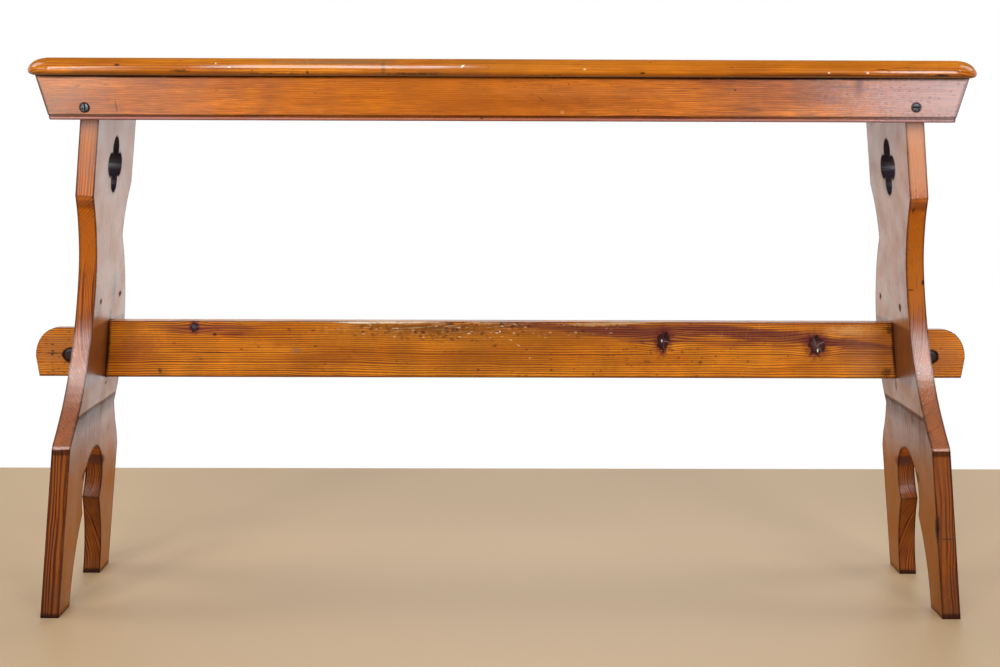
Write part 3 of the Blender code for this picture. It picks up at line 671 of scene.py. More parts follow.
stretcherShape = {"cutAxis": 0, "cutStep": 6.0, "round": 1.3, "wear": 0.8}
stretcherLook = dict(
    boardLook, pith=(0.012, 0.05), ring=2.7, taper=0.012, wander=10.0, flame=3.2, ripple=2.2, uneven=1.0,
    early="#E48818", deep="#BE6608", late="#54200A", lines=(0.66, 1.0), mottle=0.16, coat=0.5, coatRoughness=0.2,
    knots=(((-375, 23, 322), 6.0), ((197, 23, 306), 9.0), ((384, 23, 302), 10.0)),
    marks=(
        mark((-366, 23, 320.5), (82, 12, 9), "#6A2A20", 0.85, inGrain=0.25, ragged=1.2),
        mark((-330, 23, 314), (34, 12, 4), "#5A1C14", 0.75, inGrain=0.2),
        mark((-440, 23, 300), (40, 12, 26), "#8A4A1E", 0.45, core=0.0, ragged=1.4),
        mark((180, 23, 317), (190, 12, 13), "#662A20", 0.9, inGrain=0.4, ragged=1.8),
        mark((300, 23, 316), (190, 12, 13), "#561C1C", 0.95, inGrain=0.3, turn=(0, 3.5, 0), ragged=1.8),
        mark((416, 23, 304), (100, 12, 10), "#561C1C", 0.92, inGrain=0.25, turn=(0, 7, 0), ragged=1.6),
        mark((250, 23, 305), (150, 12, 5), "#5E2018", 0.75, inGrain=0.55, turn=(0, 3.5, 0), ragged=2.0),
        mark((330, 23, 327), (190, 12, 4), "#7A3A26", 0.6, inGrain=0.5, ragged=1.8),
        mark((-40, 23, 295), (330, 20, 70), "#7C440E", 0.4, core=0.0),
        mark((428, 23, 319), (50, 12, 11), "#DC9C58", 0.6, core=0.0, ragged=1.0),
        mark((-70, 23, 323.5), (150, 12, 2.6), "#3A1A08", 0.75, ragged=2.4, inGrain=0.0),
        mark((-20, 23, 316), (280, 12, 20), "#965610", 0.5, core=0.3),
        mark((-455, 23, 295), (44, 12, 60), "#8A3A10", 0.45, core=0.0, inGrain=0.3),
        mark((455, 23, 285), (60, 12, 60), "#8A5A40", 0.4, core=0.0),
        mark((-100, 23, 318), (150, 12, 14), "#A8641C", 0.55, core=0.1),
        mark((-350, 23, 313), (3.6, 5, 2.6), "#2E1210", 0.9),
        mark((-418, 23, 268), (4.0, 5, 4.0), "#3A1A0A", 0.7, ragged=1.0),
        mark((-250, 23, 293), (8, 6, 4.5), "#7A5A44", 0.45, ragged=1.0),
        mark((-350, 23, 291), (24, 6, 0.9), "#3C1604", 0.8, ragged=0.3),
        mark((-20, 23, 321), (170, 12, 9), "#8A4A12", 0.55, ragged=1.2, inGrain=0.3, rough=0.1),
        # a pale line along the worn top arris: paler rubbed wood, partly a painted highlight
        mark((-110, 22.5, 328.3), (110, 3.2, 1.7), "#F0DCBC", 0.9, ragged=2.6, inGrain=0.0),
        mark((150, 22.5, 328.6), (70, 3.2, 1.6), "#D9B283", 0.7, ragged=2.0, inGrain=0.0),
        mark((410, 22.5, 329.4), (60, 3.2, 1.5), "#3A1A0C", 0.7, ragged=1.4),
        mark((478, 23, 322), (12, 8, 9), "#2A1008", 0.75, ragged=1.2),
        mark((474, 23, 268), (9, 8, 8), "#35160A", 0.6, ragged=1.3),
        mark((-482.5, 23, 295), (5.4, 8, 70), "#1A0804", 0.95, ragged=0.4, turn=(0, 5.6, 0), core=0.3, coat=-0.5),
        mark((482.5, 23, 295), (4.6, 8, 70), "#200C06", 0.95, ragged=0.5, turn=(0, -5.6, 0), core=0.3),
        mark((244, 23, 280), (4, 8, 3), "#4A1F0A", 0.7, ragged=1.0),
        mark((-540, 30, 290), (42, 16, 38), "#B47238", 0.5, ragged=1.6),
        mark((540, 30, 290), (42, 16, 38), "#BC7038", 0.6, ragged=1.6),
        *(mark((x, 27, 287), (10.5, 5, 10.5), "#1A0905", 0.9, core=0.75, coat=-0.5, ragged=0.4)
          for x in (-529, 529)),
        mark((-548, 27, 289), (14, 5, 1.0), "#220C05", 0.85, ragged=1.0),
        mark((-85, 23, 320), (120, 12, 12), "#542C0E", 0.55, ragged=2.0, core=0.1),
        mark((105, 23, 321.5), (150, 12, 7.0), "#5A2420", 0.85, inGrain=0.45, turn=(0, 3, 0), core=0.4, ragged=1.8),
        mark((160, 23, 314), (90, 12, 11), "#5A221E", 0.85, inGrain=0.5, turn=(0, 4, 0), core=0.4, ragged=1.8),
        # pale scuffs below the top arris, partly a painted highlight
        mark((112, 23, 326.5), (46, 12, 2.6), "#B89468", 0.6, ragged=1.8),
    ),
    chipGlints=(
        # small pale and grey spots on dents, chips and a knot, where they catch the light: painted glints
        mark((196.5, 23, 306.5), (1.1, 6, 2.4), "#EFE6DA", 0.9, ragged=0.3),
        mark((388, 23, 295), (1.3, 6, 3.0), "#E9DCCB", 0.9, ragged=0.3),
        mark((-376, 23, 323), (3.0, 6, 3.6), "#4E4A52", 0.7, ragged=0.9),
        mark((-128, 23, 321), (3.4, 6, 0.8), "#F0D8BC", 0.8, ragged=1.4),
        mark((-2, 23, 317.5), (1.3, 6, 1.3), "#F6E0BC", 0.85, ragged=0.6),
        mark((-40, 23, 315), (3.4, 6, 0.8), "#E8C8A0", 0.7, turn=(0, -12, 0), ragged=1.4),
        mark((12, 23, 307), (3.0, 6, 0.8), "#E8C8A0", 0.65, turn=(0, 20, 0), ragged=1.4),
        mark((21, 23, 300.5), (3.0, 6, 0.8), "#E0BC94", 0.6, turn=(0, 24, 0), ragged=1.4),
        mark((35, 23, 285), (1.6, 6, 1.0), "#E0C0A0", 0.6, ragged=1.0),
    ),
    deadKnots=(
        {"at": (-375, 23, 322), "turn": (90, 0, 0), "size": (4.8, 6.0, 40), "stain": "#6A2420", "bark": "#24121A",
         "heart": "#4A3C40"},
        {"at": (198, 23, 306), "turn": (90, 8, 0), "size": (7.4, 12.5, 40), "stain": "#561218", "bark": "#260C10",
         "heart": "#4C2A2A"},
        {"at": (386, 23, 301.5), "turn": (90, -20, 0), "size": (10.5, 12.0, 40), "stain": "#561218", "bark": "#2C1012",
         "heart": "#6A4C48"},
    ),
    scratches=(
        mark((-50, 23, 323), (190, 12, 9), "#F0D2A4", 0.22, turn=(0, 6, 0)),
        mark((310, 23, 316), (70, 12, 14), "#C9A08C", 0.1, turn=(0, 84, 0)),
    ),
    pitsAndGlints=(
        pitsAndGlints((-35, 23, 319), (215, 20, 18), 3.4, 2.3, 0.55, "#3A1806", 0.3, squeeze=(0.55, 1, 1), strength=0.8),
        # pale flecks with no depth over the battered middle: painted glints
        pitsAndGlints((-40, 23, 319), (220, 20, 15), 3.1, 1.7, 0.34, "#E8C498", 0.0, squeeze=(0.42, 1, 1), strength=0.65),
        pitsAndGlints((190, 23, 287), (120, 20, 18), 3.4, 1.7, 0.5, "#5A2408", 0.2, squeeze=(0.6, 1, 1), strength=0.8),
        pitsAndGlints((-540, 27, 290), (46, 14, 46), 3.4, 1.6, 0.45, "#3A180A", 0.2, squeeze=(0.5, 1, 1), strength=0.75),
        pitsAndGlints((540, 27, 290), (46, 14, 46), 3.6, 1.5, 0.35, "#4A2210", 0.2, squeeze=(0.6, 1, 1), strength=0.6),
        pitsAndGlints((0, 23, 295), (560, 20, 60), 6.0, 1.9, 0.3, "#5A2608", 0.15, squeeze=(0.6, 1, 1), strength=0.75),
    ),
    bands=(band((250, 1), (262.0, 1.5), "#3A1606", 0.6, ragged=3.0),),
)

buildBoard("stretcherRail", "stretcher", stretcherShape, stretcherLook)
print("stretcher built")


# Aprons: fine straight grain under a satin film, a beaded lower edge with a dark quirk

apronShape = {"cutAxis": 0, "cutStep": 9.0, "round": 0.5, "wear": 0.3}
frontApronLook = dict(
    boardLook, pith=(0.09, 0.4), ring=1.5, taper=0.03, wander=14.0, flame=3.0, ripple=1.2, uneven=1.5, early="#CE721A",
    deep="#9C4C0A", late="#7A360C", lines=(0.18, 0.82), fibre=0.46, fibreRun=38.0, fibreCount=800.0, flecks=0.34,
    mottle=0.2, coat=1.0, coatRoughness=0.22, relief=0.006,
    edge={"width": 2.4, "colour": "#1E0F0A", "low": 0.7, "high": 1.0, "rough": 0.2, "coat": -0.7}, bareSide=(0, 1, 0),
    bands=(
        # a pinkish band along the bead: painted sheen
        band((571.6, 0.5), (574.0, 0.3), "#B4787A", 0.6),
        # a dark line in the quirk: painted shade
        band((574.6, 0.4), (575.6, 0.6), "#4E1E0C", 0.55, ragged=0.6, coat=-0.7),
        # near-black along the top, under the seat's overhang: painted shadow of the seat
        band((618.4, 2.0), (640, 1), "#160803", 0.94, ragged=1.5, coat=-1.0, rough=0.3),
        # dark under the bead, where it turns away below: painted shade
        band((560, 1), (571.3, 0.5), "#4A1E12", 0.8, ragged=0.6, coat=-0.6),
    ),
    marks=(
        # dark rings round the screw heads: painted shade of their recesses
        *(mark((x, -112, z), (6.2, 5, 6.2), "#120907", 0.95, core=0.8, ragged=0.4, coat=-1.0)
          for x, z in ((-466, 584), (462, 587.5))),
        # a dark strip down each raked end: painted shade of the end face
        mark((-513.3, -112, 597), (2.5, 6, 40), "#1C120C", 0.95, turn=(0, -16.6, 0), core=0.5, ragged=0.4, coat=-0.8),
        mark((513.0, -112, 597), (3.8, 6, 40), "#140E12", 0.97, turn=(0, 16.6, 0), core=0.5, ragged=0.4, coat=-0.8),
        # pale pinkish haze at both ends: partly bloom in the varnish, partly painted sheen
        mark((-510, -112, 600), (95, 20, 60), "#A8826E", 0.45, core=0.0),
        mark((505, -112, 600), (185, 20, 60), "#BA9E9E", 0.72, core=0.0),
        mark((-90, -112, 600), (400, 20, 90), "#B05E14", 0.55, core=0.0, coat=-1.4),
        mark((240, -112, 597), (300, 20, 60), "#8A4A24", 0.14, core=0.1, inGrain=1.0),
        mark((470, -112, 606), (60, 20, 14), "#7A5058", 0.35, core=0.0, inGrain=0.3, ragged=2.4),
        mark((-431.5, -112, 586), (0.8, 4, 11), "#240C05", 0.95, ragged=0.2, turn=(0, -9, 0)),
        mark((397, -112, 613), (9, 5, 22), "#4A2428", 0.65, ragged=0.5, core=0.0),
        mark((378, -112, 610), (26, 5, 1.6), "#4A2422", 0.6, ragged=0.8, core=0.0),
        mark((73, -112, 612), (1.4, 4, 1.2), "#230D06", 0.9),
        mark((259, -112, 606), (2.0, 4, 1.3), "#3A160A", 0.9),
        mark((151, -112, 583), (1.4, 4, 1.0), "#3A160A", 0.85),
        mark((384, -112, 602), (1.6, 4, 1.2), "#3A1A14", 0.8),
        mark((42, -112, 596), (7, 4, 0.7), "#5A2A0C", 0.8, turn=(0, 38, 0), ragged=0.3),
        mark((66, -112, 581), (3.0, 4, 2.6), "#D9A878", 0.25, core=0.5),
        mark((-24, -112, 574), (3, 4, 1.4), "#3A1208", 0.8),
        mark((-474, -112, 608), (4.5, 4, 1.6), "#8A4E34", 0.6, turn=(0, -25, 0)),
        mark((-442, -112, 610), (5, 4, 0.9), "#6A3520", 0.7),
        mark((-75, -112, 598), (60, 4, 9), "#9A4E12", 0.35, inGrain=0.6),
        mark((70, -112, 604), (150, 4, 10), "#9C5A2C", 0.4, inGrain=0.4),
    ),
    pitsAndGlints=(
        pitsAndGlints((0, -112, 595), (620, 20, 60), 5.0, 1.5, 0.34, "#8A4816", 0.08, squeeze=(0.5, 1, 1), strength=0.7),
        pitsAndGlints((480, -112, 600), (160, 20, 60), 3.0, 1.5, 0.5, "#7E5058", 0.08, squeeze=(0.45, 1, 1), strength=0.7),
    ),
)
rearApronLook = dict(
    frontApronLook, pith=(-0.08, 0.43), bareSide=(0, -1, 0),
    marks=(
        # dark rings round the screw heads: painted shade of their recesses
        *(mark((x, 112, 590), (7.2, 5, 7.2), "#20140F", 0.8, core=0.75) for x in (-466, 466)),
        mark((120, 112, 600), (60, 6, 6), "#8C4714", 0.5, inGrain=0.5),
        mark((-260, 112, 605), (5, 6, 3.5), "#34150A", 0.85),
    ),
    # near-black along the top, under the seat's overhang: painted shadow of the seat
    bands=(band((618.2, 1.6), (640, 1), "#1C0A04", 0.9, ragged=1.5),),
)

buildBoard("frontApron", "front_apron", apronShape, frontApronLook)
buildBoard("rearApron", "rear_apron", apronShape, rearApronLook)
print("aprons built")


# End panels: upright grain that follows the lean, dark feet, black paint in the quatrefoil

panelShape = {"cutAxis": 2, "cutStep": 5.0, "round": 1.3, "wear": 0.9}
leanAngle = 5.6
panelPlaces = {
    "innerFoot": 511.7,              # the inner face at the floor, out from the middle
    "thickness": 21,
    "quatrefoil": (471.8, 519.5),    # out from the middle, and up
    "quatrefoilReach": 37.0,
    "pith": 465,                     # where the rings have their middle, out from the bench's
}
panelLook = dict(
    boardLook, ring=1.8, taper=0.01, wander=9.0, flame=5.0, ripple=1.6, uneven=1.6, early="#D07014", deep="#B65A0A",
    late="#5A2004", coat=1.0, coatRoughness=0.25, coatIor=1.6, gloss=0.15, relief=0.008, mottle=0.14,
    swell=0.06, edge={"width": 5.0, "colour": "#2A0B06", "low": 0.65, "high": 1.0, "rough": 0.2, "coat": -0.7},
)
edgeFaces = ((0, -1, 0), (0, 1, 0))
footBands = (
    *(band((-5, 1), (196, 6), "#3E1403", 0.9, ragged=10.0, inGrain=0.28, facing=edge, coat=-1.0, rough=0.25)
      for edge in edgeFaces),
    # a worn zone above each shoulder, its greyed pink partly painted sheen
    band((200, 3), (240, 100), "#6A4A40", 0.74, ragged=30.0, rough=0.1, facing=(0, -1, 0.1), inGrain=0.35),
    band((345, 30), (470, 12), "#984C08", 0.38, facing=(0, -1, 0), coat=-2.2),
    band((205, 8), (335, 20), "#8A4410", 0.42, facing=(0, -1, 0)),
    band((193, 3), (197, 1), "#2A120A", 0.7, ragged=3.0, coat=-0.7, rough=0.25, facing=(0, -1, 0.3)),
    # a pale line on the shoulder's arris: painted highlight
    band((198.6, 0.8), (200.4, 0.8), "#C89A84", 0.3, ragged=1.5, facing=(0, -1, 0.3)),
    # a near-black line at the floor: grime and painted contact shadow
    band((-5, 1), (3, 5), "#140905", 0.85, ragged=5.0, rough=0.2, coat=-0.5),
    # a dark band just under each strip's kink: grime and painted shade
    *(band((474.0, 6), (480.0, 2.5), "#4E1C08", 0.5, ragged=6.0, facing=edge, coat=-0.3) for edge in edgeFaces),
)


def panelMarks(side):
    # knots and stains of the inner face and the strip beside it, and painted shade on the step inside each arch; x
    # follows the lean
    lean = math.tan(math.radians(leanAngle))

    def strip(share, y, z):
        return (side * (panelPlaces["innerFoot"] + panelPlaces["thickness"] * share - z * lean), y, z)

    def inner(y, z):
        return strip(0, y, z)

    # the upward step inside each arch, darkened and greyed: painted shade
    archStep = mark((side * 497, 0, 152), (40, 62, 13), "#4C2E28", 0.75, core=0.7, rough=0.35, coat=-0.95, ragged=0.3)
    quatrefoil = (archStep, mark((side * 471, 0, 519.5), (24, 41, 41), "#3A2016", 0.35, core=0.9, ragged=0.3))
    frontFoot = mark(strip(0.5, -118, 5), (40, 44, 100), "#2C0E04", 0.4, core=0.0)
    if side < 0:
        return quatrefoil + (
            mark(inner(-22, 358), (5, 8, 5), "#3E1C08", 0.95, coat=-1.0, rough=0.3, ragged=0.9),
            mark(inner(74, 358), (5, 10, 5.5), "#3E1C08", 0.95, coat=-1.0, rough=0.3, ragged=0.9),
            mark(strip(0.5, -64, 428), (30, 44, 44), "#AC5A14", 0.7),
            mark(inner(42, 368), (5, 15, 34), "#5F6468", 0.7, ragged=1.0),
            mark(inner(30, 335), (5, 9, 12), "#3C4048", 0.7, ragged=1.2),
            mark(inner(-70, 216), (6, 60, 22), "#3A2416", 0.45, ragged=2.6, core=0.1, inGrain=0.4),
            mark(inner(-20, 206), (6, 50, 26), "#463024", 0.35, ragged=2.8, core=0.0, inGrain=0.4),
            mark(inner(33, 252), (5, 6, 3), "#20140E", 0.95, coat=-0.8),
            mark(inner(-61, 279), (4, 5, 9), "#5A3A2A", 0.7, ragged=1.2),
            mark(inner(-109, 273), (6, 6, 8), "#2E1A10", 0.8, coat=-0.8, ragged=1.2),
            frontFoot,
            mark(strip(0.5, -112, 120), (1.2, 12, 60), "#1F0A03", 0.85),
            mark(strip(0.5, -50, 352), (40, 44, 62), "#4A1602", 0.95, inGrain=1.0, ragged=0.8),
            mark(strip(0.5, -95, 550), (40, 60, 60), "#9C5E34", 0.5),
        )
    return quatrefoil + (
        mark(inner(78, 357), (5, 7, 6), "#331808", 0.95, coat=-1.0, rough=0.3, ragged=1.0),
        mark(inner(-15, 352), (5, 8, 7), "#3E1C08", 0.95, coat=-1.0, rough=0.3, ragged=1.0),
        mark(inner(-72, 208), (6, 56, 30), "#32200F", 0.5, ragged=2.8, core=0.1, inGrain=0.4),
        mark(inner(30, 214), (6, 70, 20), "#3A261A", 0.42, ragged=2.6, core=0.1, inGrain=0.4),
        mark(inner(28, 252), (4, 4, 10), "#2E1A10", 0.9, coat=-1.0, rough=0.3),
        mark(strip(0.5, -70, 545), (30, 60, 72), "#BC7236", 0.75, core=0.7),
        mark(strip(0.5, -58, 405), (30, 44, 74), "#A4580E", 0.75, core=0.6),
        mark(strip(0.5, -52, 330), (40, 44, 44), "#4A1602", 0.9, inGrain=1.0, ragged=0.8),
        mark(inner(40, 405), (4, 3, 12), "#6A5040", 0.6, ragged=1.0),
        mark(strip(0.2, -54, 377), (5, 8, 1.0), "#1A0A06", 1.0, core=0.5, ragged=0.3),
        mark(strip(0.92, -54, 386), (2.6, 8, 5), "#2A1620", 0.95, ragged=0.8),
        mark(strip(0.25, -82, 471), (2.4, 8, 5), "#3A1A0A", 0.8, ragged=0.8),
        frontFoot,
        mark(strip(0.0, -118, 105), (4.0, 8, 26), "#120705", 0.95, coat=-0.8, ragged=0.7),
        mark(strip(0.6, -118, 95), (14, 6, 1.0), "#2A1006", 0.8, ragged=0.3),
    )


def innerFaceBands(side):
    # a sharp dark line 231 mm up on the inner face, which has less gloss below it
    inward = (-side, 0, -0.1)
    return (
        band((-5, 1), (120, 105), "#B0702E", 0.65, ragged=20.0, facing=inward, rough=0.3, coat=-0.9),
        band((196, 40), (231, 2), "#A08070", 0.55, ragged=3.0, facing=inward, rough=0.15, coat=-0.25),
        band((227, 22), (231, 1.5), "#3A2218", 0.85, ragged=3.0, facing=inward, rough=0.2, coat=-0.35, inGrain=0.3),
        band((231, 1.5), (300, 70), "#8A5234", 0.5, facing=inward, coat=-0.3, ragged=3.0),
        # the paler face above the dark line: painted reflection of the white wall
        band((231, 1.5), (620, 5), "#D09A72", 0.62, facing=inward, rough=-0.1, ragged=3.0),
        band((-5, 1), (620, 5), "#8A5C36", 0.18 + 0.12 * side, facing=inward, coat=-1.0, rough=0.1),
        # a darker band level with the stretcher: painted reflection of the stretcher
        band((262, 4), (328, 4), "#743A12", 0.85, facing=inward),
        band((231, 1.5), (258, 4), "#A87A58", 0.5, facing=inward, coat=-0.7, ragged=3.0),
        band((228.5, 4), (231.5, 0.8), "#3A241A", 0.35, facing=inward, coat=-0.6, ragged=3.0),
    )


def ebonisedWood():
    # black paint brushed into the quatrefoil, glossy with a bluish bloom
    material, add = newMaterial("ebonised quatrefoil")
    place = add("TexCoord").outputs["Object"]
    brush = stretchedNoise(add, place, (60.0, 500.0, 500.0), 3.0)
    rough = add("MapRange", inputs=(brush, 0.0, 1.0, 0.22, 0.5))
    patterned(add, brush, brush, ("#15101A", "#42323C"), 0.2, {"Roughness": rough})
    return material


def buildEndPanels():
    blackPaint = ebonisedWood()
    for word, side, lines in (("left", -1, (0.22, 0.9)), ("right", 1, (0.10, 0.80))):
        look = dict(
            panelLook, lines=lines, turn=(0, 90 + side * leanAngle, 0), pith=(0.0, -side * panelPlaces["pith"] * mm),
            marks=panelMarks(side), bands=footBands + innerFaceBands(side))
        look["scratches"] = (
            # pale pinkish diagonal scratches on each strip's front bulge, partly painted sheen
            mark((side * 500, -100, 292), (60, 60, 62), "#D8B8A8", 0.5, turn=(0, side * 55, 20)),
            mark((side * 505, -100, 240), (60, 60, 50), "#4A1E0E", 0.6, turn=(0, side * 30, -15)),
            mark((side * 490, 0, 190), (40, 130, 90), "#3A2014", 0.5, turn=(0, 90, 0), coat=-0.3),
            mark((side * 470, 0, 430), (50, 130, 220), "#6A4430", 0.55, turn=(0, 90, 0)),
        )
        panel = boardFromNode(word + "EndPanel", word + "_end_panel", panelShape)
        material = pitchPine("varnished pitch pine " + word + " panel", look)
        finishPiece(panel, [material, blackPaint], "panel pine", word + "_end_panel")
        centre = Vector((side * panelPlaces["quatrefoil"][0], 0, panelPlaces["quatrefoil"][1])) * mm
        for face in panel.data.polygons:
            away = face.center - centre
            if abs(face.normal.x) < 0.5 and math.hypot(away.y, away.z) < panelPlaces["quatrefoilReach"] * mm:
                face.material_index = 1


buildEndPanels()
print("end panels built")


# Seat: one board with rounded corners and a full nosing, golden where hands polish it

seatShape = {
    "cornerRadius": 22.0, "cornerSteps": 14, "nosingReach": 14.0, "nosingUnder": 6.8, "land": 0.8,
    "nosingSteps": 16, "underSteps": 7, "cutStep": 8.0, "shadeFrom": 40,
    "endReach": 8.0,                # how much longer the round is over the two ends
    "endFade": 60.0,                # how far in from its reach that has gone
    "rightDrop": 2.8,               # the fullest line of the round runs lower towards the right end
    "rightDropRun": (150, 250),     # from here, and in full after so much more
    "leftDrop": 2.0,                # and a little lower close to the left end
    "leftDropRun": (360, 120),
    "sway": 0.25,                   # how deep the nosing is rubbed in
    "swayBias": 0.4,
    "swayWaves": (((9.0, 4.0), 0.3, 1.0), ((37.0, 12.0), 4.1, 0.15)),   # per metre, height, share
}
seatLook = dict(
    boardLook, pith=(-0.16, 0.5), ring=2.6, taper=0.02, early="#D27C1A", deep="#AE5C0C", late="#7A3008",
    lines=(0.16, 0.9), fibre=0.32, fibreRun=22.0, mottle=0.15, coat=1.0, coatRoughness=0.12, gloss=0.05, relief=0.012,
    swell=0.03, filmFollows=0.15, edge={"width": 0.5, "colour": "#4A1A0A", "low": 0.0, "high": 0.1},
    bareSide=(0, 0, -1),
    bands=(
        band((610, 1), (660, 1), "#B8701E", 0.3, facing=(0, 0, 1), coat=-10.0, rough=0.1),
        band((617, 1), (622.6, 1.4), "#6B3C0C", 0.65, ragged=5.0, coat=-0.4),
        # near-black on the underside and the edge just above it: painted shadow of the gap over the apron
        band((617, 1), (620.6, 0.8), "#1A0A03", 0.9, ragged=1.5, coat=-0.7),
    ),
    marks=(
        mark((195, -123, 628), (260, 30, 20), "#B4661C", 0.35, core=0.75, coat=-2.6, ragged=0.3),
        # greyed brown above the nosing's highlight: painted sheen
        mark((-190, -123, 635), (110, 30, 5), "#7C5C40", 0.7, core=0.2, ragged=1.2),
        mark((-20, -123, 630), (200, 30, 20), "#9A5A20", 0.35, core=0.0),
        mark((-378, -123, 628), (60, 30, 20), "#B4661C", 0.3, coat=-2.4, ragged=0.3),
        mark((-427, -123, 631), (5, 6, 1.9), "#2E1216", 0.9, ragged=0.8),
        mark((-357, -123, 624.5), (16, 6, 2.6), "#4A2A0C", 0.8, ragged=1.2),
        mark((-217, -123, 623), (2.2, 6, 4), "#2A1408", 0.85, ragged=0.8),
        mark((-250, -123, 621.5), (60, 6, 1.6), "#241206", 0.7, ragged=1.6),
        mark((-100, -123, 621.5), (46, 6, 2.4), "#1C0E06", 0.85, ragged=1.8),
        mark((-133, -123, 630), (3.0, 8, 14), "#3A2818", 0.45, ragged=0.8),
        mark((-45, -123, 631), (3.4, 6, 1.1), "#FFF4DC", 0.9, turn=(0, -35, 0), ragged=0.3),
        mark((45, -123, 620.5), (50, 6, 1.9), "#1C0E06", 0.85, ragged=1.8),
        mark((154, -123, 624), (4.2, 6, 1.4), "#2A1206", 0.9, ragged=0.8),
        mark((268, -123, 620.5), (70, 6, 1.7), "#120804", 0.95, ragged=1.2),
        mark((443, -123, 631), (18, 6, 0.8), "#2A1004", 0.85, turn=(0, -4, 0), ragged=0.6),
        mark((420, -123, 629), (10, 6, 1.0), "#3A1808", 0.8, ragged=0.8),
        mark((350, -123, 622.4), (120, 10, 3.4), "#3E120A", 0.7, ragged=0.8, core=0.2, inGrain=0.3),
        mark((455, -123, 620.6), (80, 10, 2.2), "#3E120A", 0.7, ragged=2.2, core=0.4),
        mark((430, -123, 634), (110, 30, 7), "#A4540A", 0.4, core=0.0),
        mark((486, -123, 622.6), (12, 6, 1.7), "#120A08", 0.95, ragged=1.4),
        # near-white spots on small dents: painted glints
        mark((-318, -123, 633), (1.3, 5, 1.3), "#FFE9C4", 0.9, ragged=0.2),
        mark((-303, -123, 629), (1.8, 5, 1.1), "#FFE9C4", 0.8, ragged=0.2),
        mark((90, -123, 628), (2.0, 5, 1.0), "#FFE0B0", 0.8, ragged=0.2),
        mark((361, -123, 625), (1.8, 5, 1.3), "#F6D2A8", 0.85, ragged=0.2),
        mark((404, -123, 625), (1.9, 5, 1.5), "#FFE4C0", 0.9, ragged=0.2),
    ),
    pitsAndGlints=(pitsAndGlints((0, -122, 630), (700, 30, 30), 9.0, 1.2, 0.35, "#8A4A12", 0.15),),
)


def buildSeat():
    low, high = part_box("seat_board")
    under = seatShape["nosingUnder"] * mm
    land = seatShape["land"] * mm
    middle = Vector(((low.x + high.x) / 2, (low.y + high.y) / 2, low.z + under + land / 2))
    bpy.ops.object.select_all(action="DESELECT")
    bpy.ops.mesh.primitive_cube_add(size=1, location=middle, scale=(high.x - low.x, high.y - low.y, land))
    bpy.ops.object.transform_apply(location=True, rotation=False, scale=True)
    seat = bpy.context.active_object
    seat.name = "seatBoard"
    bpy.ops.object.mode_set(mode="EDIT")
    bpy.ops.mesh.select_mode(type="EDGE")
    bpy.ops.mesh.select_all(action="DESELECT")
    selectWhere("edges", lambda edge: abs(edge.verts[0].co.z - edge.verts[1].co.z) > land / 2)
    bpy.ops.mesh.bevel(offset=seatShape["cornerRadius"] * mm, segments=seatShape["cornerSteps"], profile=0.5)
    bpy.ops.mesh.select_mode(type="FACE")
    rise = high.z - low.z - under - land

    def quarterRound(reach, lift, steps):
        turns = [math.pi / 2 * i / steps for i in range(steps + 1)]
        return [(reach * (1 - math.cos(turn)), lift * math.sin(turn)) for turn in turns]

    over = quarterRound(seatShape["nosingReach"] * mm, rise, seatShape["nosingSteps"])
    below = quarterRound(under, under, seatShape["underSteps"])
    for route, wanted in ((over, 1), (below, -1)):
        bpy.ops.mesh.select_all(action="DESELECT")
        selectWhere("faces", lambda face: face.normal.z * wanted > 0.9)
        for (along, up), (nextAlong, nextUp) in zip(route, route[1:]):
            bpy.ops.mesh.inset(thickness=nextAlong - along, depth=0.0, use_even_offset=True)
            bpy.ops.transform.translate(value=(0, 0, wanted * (nextUp - up)))
    cutAcross(low, high, 0, seatShape["cutStep"])
    swayEdges(seat, low, high)
    applyModifier(seat, "WEIGHTED_NORMAL", faceNormals)
    bpy.ops.object.shade_smooth_by_angle(angle=math.radians(seatShape["shadeFrom"]))
    finishPiece(seat, [pitchPine("varnished pitch pine seat", seatLook)], "seat pine", "seat_board")


def swayEdges(seat, low, high):
    # worked by hand: a longer round at the ends, a fullest line that is not quite level, and
    # a nosing that hands and clothes have rubbed in by up to the sway
    work = bmesh.new()
    work.from_mesh(seat.data)
    work.normal_update()
    reach = seatShape["nosingReach"] * mm
    for vertex in work.verts:
        fromEnd = min(vertex.co.x - low.x, high.x - vertex.co.x)
        inside = min(vertex.co.y - low.y, high.y - vertex.co.y, fromEnd)
        drawn = min(fromEnd / reach, max(0.0, 1 - (fromEnd - reach) / (seatShape["endFade"] * mm)))
        vertex.co.x -= math.copysign(seatShape["endReach"] * mm * drawn, vertex.co.x)
        if inside > reach:
            continue
        drop = 0.0
        for word, way in (("right", 1), ("left", -1)):
            start, run = seatShape[word + "DropRun"]
            drop += seatShape[word + "Drop"] * min(1.0, max(0.0, (way * vertex.co.x - start * mm) / (run * mm)))
        level = (vertex.co.z - low.z) / (high.z - low.z)
        vertex.co.z -= drop * mm * math.sin(math.pi * level)
        wave = seatShape["swayBias"]
        for (along, across), height, share in seatShape["swayWaves"]:
            wave += share * noise.noise(Vector((vertex.co.x * along, vertex.co.y * across, height)))
        vertex.co -= vertex.normal * seatShape["sway"] * mm * max(0.0, wave)
    work.to_mesh(seat.data)
    work.free()


buildSeat()
print("seat built")


# Pegs, screws, cleats and glue blocks

def stainedPeg():
    # oak peg stained nearly black, its end grain polished by the varnish
    material, add = newMaterial("stained oak peg")
    place = add("TexCoord").outputs["Object"]
    pores = add("TexVoronoi", inputs={"Vector": place, "Scale": 900.0}).outputs["Distance"]
    patterned(add, pores, pores, ("#150908", "#331714"), 0.1, {
        "Roughness": 0.5, "Specular IOR Level": 0.2, "Coat Weight": 0.3, "Coat Roughness": 0.2})
    return material


